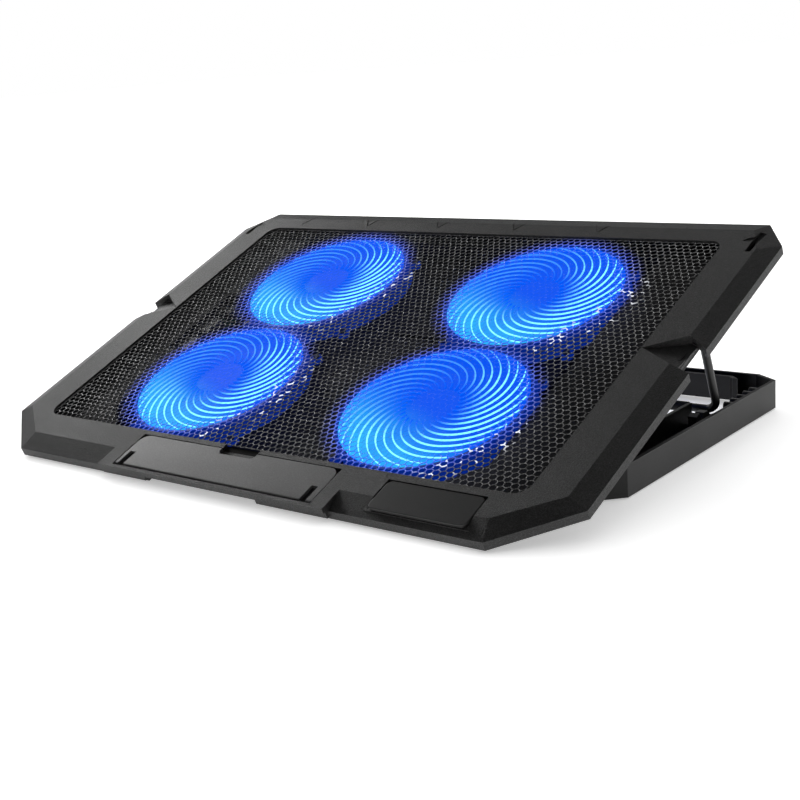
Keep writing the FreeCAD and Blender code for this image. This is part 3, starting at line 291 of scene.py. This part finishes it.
def piece_from(name, points, faces, finish, body, slot, smooth=True):
    """A new piece from points in metres and faces that index them, riding on a body."""
    mesh = bpy.data.meshes.new(name)
    mesh.from_pydata(points.tolist(), [], [list(map(int, face)) for face in faces])
    mesh.polygons.foreach_set("use_smooth", np.full(len(mesh.polygons), smooth))
    mesh.update()
    piece = bpy.data.objects.new(name, mesh)
    bpy.context.scene.collection.objects.link(piece)
    dress(piece, finish)
    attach(piece, body)
    return piece


def light_disc(centre):
    """The disc: a profile of radius and height turned about the fan's axis.

    A fan of triangles joins its first and last ring to a single point each, so it is closed.
    """
    top_height, base_height, count = 24.05, 23.5, 72
    profile = np.array([(12, top_height), (30, 24.0), (49.6, 23.95), (50.2, 23.75), (49.6, 23.55),
                        (12, base_height)])
    turn = np.linspace(0, 2 * np.pi, count, endpoint=False)
    x = centre[0] + np.outer(profile[:, 0], np.cos(turn))
    v = centre[1] + np.outer(profile[:, 0], np.sin(turn))
    z = np.repeat(profile[:, 1], count)
    points = np.vstack([on_pad(x.ravel(), v.ravel(), z),
                        on_pad(centre[0], centre[1], top_height),
                        on_pad(centre[0], centre[1], base_height)])
    quads = grid_faces(len(profile), count)[:, ::-1]
    ring = np.arange(count)
    beside = (ring + 1) % count
    top = np.stack([ring, beside, np.full(count, len(profile) * count)], axis=-1)
    last = (len(profile) - 1) * count
    base = np.stack([last + beside, last + ring, np.full(count, len(profile) * count + 1)],
                    axis=-1)
    return points, [*quads.tolist(), *top.tolist(), *base.tolist()]


def light_vanes(centre, phase):
    """Thin vanes: radius runs outward while the angle turns anticlockwise, swiftest near the hub.

    Each is a strip of width that swells in the middle and tapers to both ends, and is closed.
    """
    count, steps = 27, 26
    inner, outer, sweep = 14.0, 49.4, math.radians(82)
    tip_width, swell, top_height, base_height = 0.05, 0.32, 24.62, 24.0
    t = np.linspace(0, 1, steps)
    radius = inner + (outer - inner) * t
    turn = sweep * t ** 1.2
    start = phase + np.arange(count) * 2 * np.pi / count
    angle = start[:, None] + turn[None, :]
    middle = np.stack([np.cos(angle) * radius, np.sin(angle) * radius], axis=-1)
    tangent = np.gradient(middle, axis=1)
    tangent /= np.linalg.norm(tangent, axis=-1, keepdims=True)
    across = np.stack([-tangent[..., 1], tangent[..., 0]], axis=-1)
    half = tip_width + swell * np.sin(np.pi * np.clip(t * 0.93 + 0.05, 0, 1)) ** 0.6
    out = across * half[None, :, None]
    sides = np.stack([middle - out, middle + out], axis=2)
    flat = np.concatenate([sides[:, :, ::-1], sides], axis=2)
    height = np.array([top_height, top_height, base_height, base_height])
    points = on_pad(centre[0] + flat[..., 0], centre[1] + flat[..., 1],
                    np.broadcast_to(height, flat.shape[:-1]))
    caps = np.array([[3, 2, 1, 0], [(steps - 1) * 4 + k for k in range(4)]])
    strip = np.vstack([grid_faces(steps, 4), caps])
    faces = (strip[None] + (np.arange(count) * steps * 4)[:, None, None]).reshape(-1, 4)
    return points, faces


def glow_finish(name, centre, power):
    """Lit plastic, and its place in the fan's own flat coordinates, to colour it by."""
    finish = bpy.data.materials.new(name)
    finish.use_nodes = True
    nodes, links = finish.node_tree.nodes, finish.node_tree.links
    shader = nodes["Principled BSDF"]
    shader.inputs["Base Color"].default_value = (0.0, 0.008, 0.05, 1.0)
    shader.inputs["Roughness"].default_value = 0.6
    shader.inputs["Specular IOR Level"].default_value = 0.1
    shader.inputs["Emission Strength"].default_value = power
    place, flat = nodes.new("ShaderNodeTexCoord"), nodes.new("ShaderNodeMapping")
    flat.vector_type = "TEXTURE"
    flat.inputs["Location"].default_value = on_pad(centre[0], centre[1], 24.0)[0]
    flat.inputs["Rotation"].default_value = (TILT, 0.0, 0.0)
    links.new(place.outputs["Object"], flat.inputs["Vector"])
    return finish, nodes, links, shader, flat


def disc_finish(name, centre):
    """Deep blue over the hub, sky blue toward the diodes at one side, darker at the rim."""
    finish, nodes, links, shader, flat = glow_finish(name, centre, 1.0)
    side = nodes.new("ShaderNodeVectorMath")
    side.operation = "DOT_PRODUCT"
    side.inputs[1].default_value = (-0.42, -0.9, 0.0)
    links.new(flat.outputs["Vector"], side.inputs[0])
    near = nodes.new("ShaderNodeMapRange")
    near.interpolation_type = "SMOOTHSTEP"
    near.inputs["From Min"].default_value = 0.0
    near.inputs["From Max"].default_value = 0.046
    links.new(side.outputs["Value"], near.inputs["Value"])
    cloud = nodes.new("ShaderNodeTexNoise")
    cloud.inputs["Scale"].default_value = 55.0
    cloud.inputs["Detail"].default_value = 2.0
    links.new(flat.outputs["Vector"], cloud.inputs["Vector"])
    lift, amount = nodes.new("ShaderNodeMath"), nodes.new("ShaderNodeMath")
    lift.operation, amount.operation = "ADD", "MULTIPLY"
    lift.inputs[1].default_value = 0.35
    links.new(cloud.outputs["Fac"], lift.inputs[0])
    links.new(near.outputs["Result"], amount.inputs[0])
    links.new(lift.outputs[0], amount.inputs[1])
    blend = nodes.new("ShaderNodeMix")
    blend.data_type = "RGBA"
    blend.inputs["A"].default_value = (0.0, 0.085, 0.86, 1.0)
    blend.inputs["B"].default_value = (0.03, 0.50, 0.95, 1.0)
    links.new(amount.outputs[0], blend.inputs["Factor"])
    links.new(blend.outputs["Result"], shader.inputs["Emission Color"])
    return finish


def vane_finish(name, centre):
    """Cyan-white edges, bright on the side nearest the diodes and faint on the far one."""
    finish, nodes, links, shader, flat = glow_finish(name, centre, 1.35)
    parts = nodes.new("ShaderNodeSeparateXYZ")
    links.new(flat.outputs["Vector"], parts.inputs["Vector"])
    angle = nodes.new("ShaderNodeMath")
    angle.operation = "ARCTAN2"
    links.new(parts.outputs["Y"], angle.inputs[0])
    links.new(parts.outputs["X"], angle.inputs[1])
    turned = nodes.new("ShaderNodeMath")
    turned.operation = "ADD"
    turned.inputs[1].default_value = math.radians(42)
    links.new(angle.outputs[0], turned.inputs[0])
    wave = nodes.new("ShaderNodeMath")
    wave.operation = "COSINE"
    links.new(turned.outputs[0], wave.inputs[0])
    bright = nodes.new("ShaderNodeMapRange")
    bright.interpolation_type = "SMOOTHSTEP"
    bright.inputs["From Min"].default_value = -0.85
    bright.inputs["From Max"].default_value = 0.35
    bright.inputs["To Min"].default_value = 0.16
    links.new(wave.outputs[0], bright.inputs["Value"])
    reach, outward = nodes.new("ShaderNodeVectorMath"), nodes.new("ShaderNodeMapRange")
    reach.operation = "LENGTH"
    outward.interpolation_type = "SMOOTHSTEP"
    outward.inputs["From Min"].default_value = 0.015
    outward.inputs["From Max"].default_value = 0.036
    links.new(flat.outputs["Vector"], reach.inputs[0])
    links.new(reach.outputs["Value"], outward.inputs["Value"])
    shown = nodes.new("ShaderNodeMath")
    shown.operation = "MULTIPLY"
    links.new(bright.outputs["Result"], shown.inputs[0])
    links.new(outward.outputs["Result"], shown.inputs[1])
    blend = nodes.new("ShaderNodeMix")
    blend.data_type = "RGBA"
    blend.inputs["A"].default_value = (0.0, 0.085, 0.70, 1.0)
    blend.inputs["B"].default_value = (0.25, 0.95, 1.0, 1.0)
    links.new(shown.outputs[0], blend.inputs["Factor"])
    links.new(blend.outputs["Result"], shader.inputs["Emission Color"])
    return finish


def lit_by_diodes(finish, colour, strength):
    """The same finish with the diodes' light in it."""
    shader = finish.node_tree.nodes["Principled BSDF"]
    shader.inputs["Emission Color"].default_value = colour
    shader.inputs["Emission Strength"].default_value = strength


frame_finish = grained("fan_frame_abs", grey(0.007), grey(0.01), 3000, 0.00004, 0.5, 0.1)
lit_by_diodes(frame_finish, (0.0, 0.03, 0.4, 1.0), 0.5)
motor_finish = grained("motor_can", grey(0.30), grey(0.42), 4200, 0.00001, 0.32, 0.1, metallic=0.9)
ring_finish = grained("light_ring_diffuser", (0.02, 0.10, 0.7, 1.0), (0.03, 0.2, 0.9, 1.0), 1800,
                      0.00002, 0.4, 0.1)
lit_by_diodes(ring_finish, (0.0, 0.12, 1.0, 1.0), 0.9)
rotor_finish = grained("impeller_tint", (0.01, 0.05, 0.32, 1.0), (0.015, 0.09, 0.5, 1.0), 1500,
                       0.00002, 0.3, 0.1)
lit_by_diodes(rotor_finish, (0.0, 0.06, 0.6, 1.0), 0.35)
vane_turn = 0.05
for number, (place_name, centre) in enumerate(FAN_PLACES.items()):
    dress(frame["nodes"][f"{place_name}_fan_frame"], frame_finish)
    dress(frame["nodes"][f"{place_name}_fan_motor"], motor_finish)
    dress(frame["nodes"][f"{place_name}_light_ring"], ring_finish)
    dress(frame["nodes"][f"{place_name}_rotor"], rotor_finish)
    body = f"{place_name}_rotor"
    piece_from(f"{place_name}_light_disc", *light_disc(centre),
               disc_finish(f"{place_name}_disc_glow", centre), body, "rotor_plastic")
    piece_from(f"{place_name}_light_vanes", *light_vanes(centre, vane_turn * number),
               vane_finish(f"{place_name}_vane_glow", centre), body, "rotor_plastic", smooth=False)


# --- Board, sockets and switch -----------------------------------------------------------------
# A small fibreglass board behind the tray's left side holds two pressed-steel USB shells, shown
# blackened, with their contact tongues, and a push switch with a moulded button.

board_finish = grained("solder_mask", (0.01, 0.06, 0.03, 1.0), (0.015, 0.09, 0.045, 1.0), 900,
                       0.00002, 0.35)
socket_finish = grained("plated_shell", grey(0.10), grey(0.16), 3600, 0.000008, 0.38, metallic=1.0)
tongue_finish = grained("tongue_nylon", (0.02, 0.05, 0.22, 1.0), (0.03, 0.07, 0.3, 1.0), 2600,
                        0.00002, 0.5)
button_finish = grained("button_abs", grey(0.03), grey(0.045), 2800, 0.00003, 0.42,
                        edge=grey(0.12))
for node, finish in (("control_board", board_finish), ("usb_sockets", socket_finish),
                     ("usb_tongues", tongue_finish), ("switch_button", button_finish),
                     ("switch_body", button_finish)):
    dress(frame["nodes"][node], finish)


# --- Prop wire ---------------------------------------------------------------------------------
# One length of spring steel wire bent to a U, black powder-coated, snapped into clips on the tray.
# Soft sleeves on its cross wire grip the racks.

wire_finish = grained("powder_coat", grey(0.02), grey(0.032), 2100, 0.00005, 0.4, 0.1)
dress(frame["nodes"]["prop_bail"], wire_finish)
dress(frame["nodes"]["bail_grips"], rubber_finish)


# --- Mesh panel --------------------------------------------------------------------------------
# Expanded aluminium sheet with hexagonal openings, coated black and clamped under the top cover
# by its flat border. Over the fans its strands are washed out by the light from below.

def expanded_sheet():
    """Strands of a honeycomb.

    Six corners stand round each opening's centre; neighbours share them as the crest and the foot
    of a strand, and each opening has its own smaller hexagon half way down. Corners past the field
    are drawn in to its edge. An edge with one opening beside it is closed by a wall.
    """
    pitch, strand, crest, waist, foot = 3.95, 0.66, 27.5, 27.25, 26.75
    low_x, high_x, low_v, high_v = -164.3, 164.3, 29.5, 245.1
    row_pitch = pitch * 0.866
    rows = int((high_v - low_v) / row_pitch) + 3
    columns = int((high_x - low_x) / pitch) + 3
    row, column = np.meshgrid(np.arange(rows), np.arange(columns), indexing="ij")
    centre = np.stack([low_x + pitch * (column - 0.75 + 0.5 * (row % 2)),
                       low_v + row_pitch * (row - 0.4)], axis=-1).reshape(-1, 2)
    turn = np.radians(30 + 60 * np.arange(6))
    spoke = np.stack([np.cos(turn), np.sin(turn)], axis=-1) * pitch / math.sqrt(3)
    shrink = 1 - strand / pitch
    corner = centre[:, None] + spoke
    hole = centre[:, None] + spoke * shrink
    inside = ((hole[..., 0] > low_x + 0.4) & (hole[..., 0] < high_x - 0.4)
              & (hole[..., 1] > low_v + 0.4) & (hole[..., 1] < high_v - 0.4)).any(axis=1)
    corner, hole = corner[inside], hole[inside]
    edge_low, edge_high = np.array([low_x, low_v]), np.array([high_x, high_v])
    corner = np.clip(corner, edge_low, edge_high)
    hole = np.clip(hole, edge_low + 0.3, edge_high - 0.3)
    shared, index = np.unique(np.round(corner.reshape(-1, 2), 3), axis=0, return_inverse=True)
    index = index.reshape(-1, 6)
    sag = np.random.default_rng(7).uniform(0.0, 0.15, len(shared))
    crests = on_pad(shared[:, 0], shared[:, 1], crest - sag)
    feet = on_pad(shared[:, 0], shared[:, 1], np.full(len(shared), foot))
    waists = on_pad(hole[..., 0].ravel(), hole[..., 1].ravel(), np.full(len(hole) * 6, waist))
    own = np.arange(len(index) * 6).reshape(-1, 6) + 2 * len(shared)
    nearby, next_own = np.roll(index, -1, axis=1), np.roll(own, -1, axis=1)
    slopes = np.stack([index, nearby, next_own, own], axis=-1).reshape(-1, 4)
    under = np.stack([nearby + len(shared), index + len(shared), own, next_own],
                     axis=-1).reshape(-1, 4)
    edges = np.stack([index, nearby], axis=-1).reshape(-1, 2)
    edges = edges[edges[:, 0] != edges[:, 1]]
    _, first, times = np.unique(np.sort(edges, axis=1), axis=0, return_index=True,
                                return_counts=True)
    lone = edges[first[times == 1]]
    one, other = lone[:, 0], lone[:, 1]
    walls = np.stack([other, one, one + len(shared), other + len(shared)], axis=-1)
    return np.vstack([crests, feet, waists]), np.vstack([slopes, under, walls])


def border_strip():
    """The clamped border: a loop of four corners, carried round a four-point section."""
    inner, outer = np.array([164.0, 108.0]), np.array([169.0, 112.0])
    middle, top, base = 137.3, 26.35, 25.45
    signs = np.array([(-1, -1), (1, -1), (1, 1), (-1, 1)])
    section = [(outer, top), (inner, top), (inner, base), (outer, base)]
    points = np.vstack([on_pad(signs[:, 0] * half[0], middle + signs[:, 1] * half[1], np.full(4, z))
                        for half, z in section])
    here, beside = np.arange(4), (np.arange(4) + 1) % 4
    closing = np.stack([12 + here, 12 + beside, beside, here], axis=-1)
    return points, np.vstack([grid_faces(4, 4), closing])


FAN_OFFSET = (0.0765, 0.0525, 0.0)


def from_nearest_fan(nodes, links, flat):
    """The vector from the nearest fan's axis.

    It is the vector folded by absolute values, less the fan's place, and unfolded by its signs.
    """
    fold, side, less, back = (nodes.new("ShaderNodeVectorMath") for _ in range(4))
    fold.operation, side.operation = "ABSOLUTE", "SIGN"
    less.operation, back.operation = "SUBTRACT", "MULTIPLY"
    less.inputs[1].default_value = FAN_OFFSET
    links.new(flat.outputs["Vector"], fold.inputs[0])
    links.new(flat.outputs["Vector"], side.inputs[0])
    links.new(fold.outputs["Vector"], less.inputs[0])
    links.new(less.outputs["Vector"], back.inputs[0])
    links.new(side.outputs["Vector"], back.inputs[1])
    return back.outputs["Vector"]


def panel_finish():
    """Black coating on aluminium, with the light of the fans over it.

    The pad's plane is folded by absolute values on its middle, so one distance serves four fans.
    The strands grow clear over each fan's middle, turn indigo at its rim and are dark beyond it.
    """
    finish = grained("black_enamel", grey(0.18), grey(0.62), 700, 0.00006, 0.26, 0.2,
                     metallic=0.6)
    nodes, links = finish.node_tree.nodes, finish.node_tree.links
    shader = nodes["Principled BSDF"]
    place, flat = nodes.new("ShaderNodeTexCoord"), nodes.new("ShaderNodeMapping")
    flat.vector_type = "TEXTURE"
    flat.inputs["Location"].default_value = on_pad(3.5, 134.5, 25.0)[0]
    flat.inputs["Rotation"].default_value = (TILT, 0.0, 0.0)
    links.new(place.outputs["Object"], flat.inputs["Vector"])
    fold, level = nodes.new("ShaderNodeVectorMath"), nodes.new("ShaderNodeVectorMath")
    fold.operation, level.operation = "ABSOLUTE", "MULTIPLY"
    level.inputs[1].default_value = (1.0, 1.0, 0.0)
    links.new(flat.outputs["Vector"], fold.inputs[0])
    links.new(fold.outputs["Vector"], level.inputs[0])
    away = nodes.new("ShaderNodeVectorMath")
    away.operation = "DISTANCE"
    away.inputs[1].default_value = FAN_OFFSET
    links.new(level.outputs["Vector"], away.inputs[0])

    def fall(near, far, at_near, at_far):
        """A smooth step in the distance from the nearest fan's axis, in metres."""
        step = nodes.new("ShaderNodeMapRange")
        step.interpolation_type = "SMOOTHSTEP"
        for name, value in (("From Min", near), ("From Max", far),
                            ("To Min", at_near), ("To Max", at_far)):
            step.inputs[name].default_value = value
        links.new(away.outputs["Value"], step.inputs["Value"])
        return step.outputs["Result"]

    links.new(fall(0.040, 0.054, 0.06, 1.0), shader.inputs["Alpha"])
    tint = nodes.new("ShaderNodeMix")
    tint.data_type = "RGBA"
    tint.inputs["A"].default_value = (0.0, 0.10, 0.85, 1.0)
    tint.inputs["B"].default_value = (0.045, 0.075, 0.55, 1.0)
    links.new(fall(0.044, 0.056, 0.0, 1.0), tint.inputs["Factor"])
    lit = nodes.new("ShaderNodeMix")
    lit.data_type = "RGBA"
    lit.inputs["A"].default_value = (0.0, 0.0, 0.0, 1.0)
    links.new(tint.outputs["Result"], lit.inputs["B"])
    links.new(fall(0.049, 0.061, 1.0, 0.0), lit.inputs["Factor"])
    # flecks of the diodes' light on the strands past each fan's rim, on one side of it
    fleck, chance = nodes.new("ShaderNodeTexVoronoi"), nodes.new("ShaderNodeMath")
    fleck.inputs["Scale"].default_value = 430.0
    links.new(place.outputs["Object"], fleck.inputs["Vector"])
    pick = nodes.new("ShaderNodeSeparateColor")
    near_fan, spark = nodes.new("ShaderNodeMath"), nodes.new("ShaderNodeMath")
    links.new(fleck.outputs["Color"], pick.inputs["Color"])
    chance.operation = "GREATER_THAN"
    chance.inputs[1].default_value = 0.90
    links.new(pick.outputs["Red"], chance.inputs[0])
    fleck_side = nodes.new("ShaderNodeVectorMath")
    fleck_side.operation = "DOT_PRODUCT"
    links.new(from_nearest_fan(nodes, links, flat), fleck_side.inputs[0])
    fleck_side.inputs[1].default_value = (0.93, -0.36, 0.0)
    past_rim = nodes.new("ShaderNodeMapRange")
    past_rim.interpolation_type = "SMOOTHSTEP"
    past_rim.inputs["From Min"].default_value = 0.034
    past_rim.inputs["From Max"].default_value = 0.050
    links.new(fleck_side.outputs["Value"], past_rim.inputs["Value"])
    near_fan.operation = spark.operation = "MULTIPLY"
    links.new(fall(0.058, 0.066, 1.0, 0.0), near_fan.inputs[0])
    links.new(past_rim.outputs["Result"], near_fan.inputs[1])
    links.new(chance.outputs[0], spark.inputs[0])
    links.new(near_fan.outputs[0], spark.inputs[1])
    sparked = nodes.new("ShaderNodeMix")
    sparked.data_type = "RGBA"
    sparked.inputs["B"].default_value = (0.9, 0.93, 1.0, 1.0)
    links.new(spark.outputs[0], sparked.inputs["Factor"])
    links.new(lit.outputs["Result"], sparked.inputs["A"])
    links.new(sparked.outputs["Result"], shader.inputs["Emission Color"])
    shader.inputs["Emission Strength"].default_value = 1.0
    return finish


enamel = panel_finish()
sheet = piece_from("honeycomb_sheet", *expanded_sheet(), enamel, "pad", "mesh_metal", smooth=True)
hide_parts("mesh_panel")
trim_mesh = bmesh.new()
trim_mesh.from_mesh(sheet.data)
bmesh.ops.dissolve_degenerate(trim_mesh, edges=trim_mesh.edges, dist=1e-6)
trim_mesh.to_mesh(sheet.data)
trim_mesh.free()
# The border gets a near-black matte finish with little sheen, darker than the strands' coating:
# painted shade where it shows in the cover's notches.
border_painted_shade_finish = grained("border_painted_shade", grey(0.004), grey(0.007), 1800, 0.00004, 0.7, 0.1,
                        specular=0.1)
piece_from("sheet_border", *border_strip(), border_painted_shade_finish, "pad", "mesh_metal", smooth=False)


# --- Top cover ---------------------------------------------------------------------------------
# The large ABS moulding that holds the laptop: a flat rim with chamfered sides, clipped corners
# and side notches. Its grain is finer than the stand's, and its arrises are painted a little
# lighter:
# a painted highlight, with wear.

shell_finish = grained("shell_abs", grey(0.003), grey(0.050), 1500, 0.00040, 0.47, 0.14,
                       edge=grey(0.05), edge_width=0.0006)
rounded_copy("top_cover", "top_shell", shell_finish, 0.00022, angle=15)


# --- Name plate --------------------------------------------------------------------------------
# A blank satin plate bonded in a shallow pocket at the front right.

plate_finish = grained("plate_satin", grey(0.022), grey(0.030), 3000, 0.00003, 0.38, 0.08,
                       edge=grey(0.1))
rounded_copy("name_plate", "plate", plate_finish, 0.0005)


# --- Laptop stop -------------------------------------------------------------------------------
# A hinged plate let in flush at the front edge. Folded up it keeps the laptop from sliding; two
# steel pins hold it.

# the stop's edge colour paints a highlight along its arrises, with wear
stop_finish = grained("stop_abs", grey(0.07), grey(0.14), 1700, 0.00008, 0.36, 0.1,
                      edge=grey(0.16), specular=0.8)
rounded_copy("laptop_stop", "stop_plate", stop_finish, 0.0003)
dress(frame["nodes"]["stop_pins"], steel_finish)


# --- Screws and bumpers ------------------------------------------------------------------------
# Blackened self-tapping screws close the case and hold the fans; soft blocks under the rim land on
# the stand when the pad is let down.

screw_finish = grained("blackened_steel", grey(0.10), grey(0.16), 4800, 0.00001, 0.35,
                       metallic=0.9)
for node in ("case_screws", "fan_screws"):
    dress(frame["nodes"][node], screw_finish)
dress(frame["nodes"]["rest_bumpers"], rubber_finish)


# --- Studio ------------------------------------------------------------------------------------
# A pale floor with its own wash of light, a softbox at the left that draws the sheen across the
# rim, a second one behind, and the camera at the right front.

floor_mesh = bpy.data.meshes.new("floor")
reach = 14.0
floor_mesh.from_pydata([(-reach, -reach, 0), (reach, -reach, 0), (reach, reach, 0),
                        (-reach, reach, 0)], [], [(0, 1, 2, 3)])
floor = bpy.data.objects.new("floor", floor_mesh)
bpy.context.scene.collection.objects.link(floor)
floor_finish = bpy.data.materials.new("floor_white")
floor_finish.use_nodes = True
floor_shader = floor_finish.node_tree.nodes["Principled BSDF"]
floor_shader.inputs["Base Color"].default_value = grey(0.95)
floor_shader.inputs["Roughness"].default_value = 0.9
floor_shader.inputs["Specular IOR Level"].default_value = 0.1
floor_shader.inputs["Emission Color"].default_value = grey(1.0)
floor_shader.inputs["Emission Strength"].default_value = 0.42
dress(floor, floor_finish)


def sun(name, toward, strength, spread):
    """A distant soft light: toward is the direction to it, spread its full angle in degrees."""
    lamp = bpy.data.lights.new(name, "SUN")
    lamp.energy = strength
    lamp.angle = math.radians(spread)
    holder = bpy.data.objects.new(name, lamp)
    holder.rotation_mode = "QUATERNION"
    holder.rotation_quaternion = Vector(toward).to_track_quat("Z", "Y")
    bpy.context.scene.collection.objects.link(holder)
    return holder


def softbox(name, position, target, size, power):
    """A rectangular soft light at a place in metres, turned to face its target."""
    lamp = bpy.data.lights.new(name, "AREA")
    lamp.shape = "RECTANGLE"
    lamp.size, lamp.size_y = size
    lamp.energy = power
    holder = bpy.data.objects.new(name, lamp)
    holder.location = position
    holder.rotation_mode = "QUATERNION"
    holder.rotation_quaternion = (Vector(position) - Vector(target)).to_track_quat("Z", "Y")
    bpy.context.scene.collection.objects.link(holder)


softbox("left_sheen", (-1.22, 0.42, 0.60), (-0.18, -0.02, 0.04), (0.8, 0.36), 5.2)
softbox("rear_sheen", (-0.55, 1.35, 1.05), (0.12, 0.05, 0.06), (0.6, 0.4), 1.6)
floor_light = sun("floor_wash", (-0.22, 0.16, 0.95), 2.15, 150)
lit_floor = bpy.data.collections.new("lit_floor")
lit_floor.objects.link(floor)
floor_light.light_linking.receiver_collection = lit_floor

world = bpy.data.worlds.new("studio")
world.use_nodes = True
bpy.context.scene.world = world
sky, sky_links = world.node_tree.nodes, world.node_tree.links
room, seen = sky["Background"], sky.new("ShaderNodeBackground")
room.inputs["Color"].default_value = grey(1.0)
room.inputs["Strength"].default_value = 0.14
seen.inputs["Color"].default_value = grey(1.0)
seen.inputs["Strength"].default_value = 1.0
ray, either = sky.new("ShaderNodeLightPath"), sky.new("ShaderNodeMixShader")
sky_links.new(ray.outputs["Is Camera Ray"], either.inputs["Fac"])
sky_links.new(room.outputs["Background"], either.inputs[1])
sky_links.new(seen.outputs["Background"], either.inputs[2])
sky_links.new(either.outputs["Shader"], sky["World Output"].inputs["Surface"])
bpy.context.scene.view_settings.view_transform = "Standard"

camera_place = Vector((0.46861, -0.55831, 0.20848))
yaw, pitch, roll = math.radians(39.6), math.radians(-14.73), math.radians(-4.35)
ahead = Vector((-math.sin(yaw) * math.cos(pitch), math.cos(yaw) * math.cos(pitch),
                math.sin(pitch)))
level_right = Vector((math.cos(yaw), math.sin(yaw), 0.0))
level_up = level_right.cross(ahead)
right = level_right * math.cos(roll) + level_up * math.sin(roll)
up = level_up * math.cos(roll) - level_right * math.sin(roll)
lens = bpy.data.cameras.new("camera")
lens.lens = 59.66
lens.sensor_width = 36.0
lens.shift_x, lens.shift_y = 0.0116, 0.0021
lens.clip_start = 0.01
camera = bpy.data.objects.new("camera", lens)
camera.rotation_mode = "QUATERNION"
camera.rotation_quaternion = Matrix((right, up, -ahead)).transposed().to_quaternion()
camera.location = camera_place
bpy.context.scene.collection.objects.link(camera)
bpy.context.scene.camera = camera
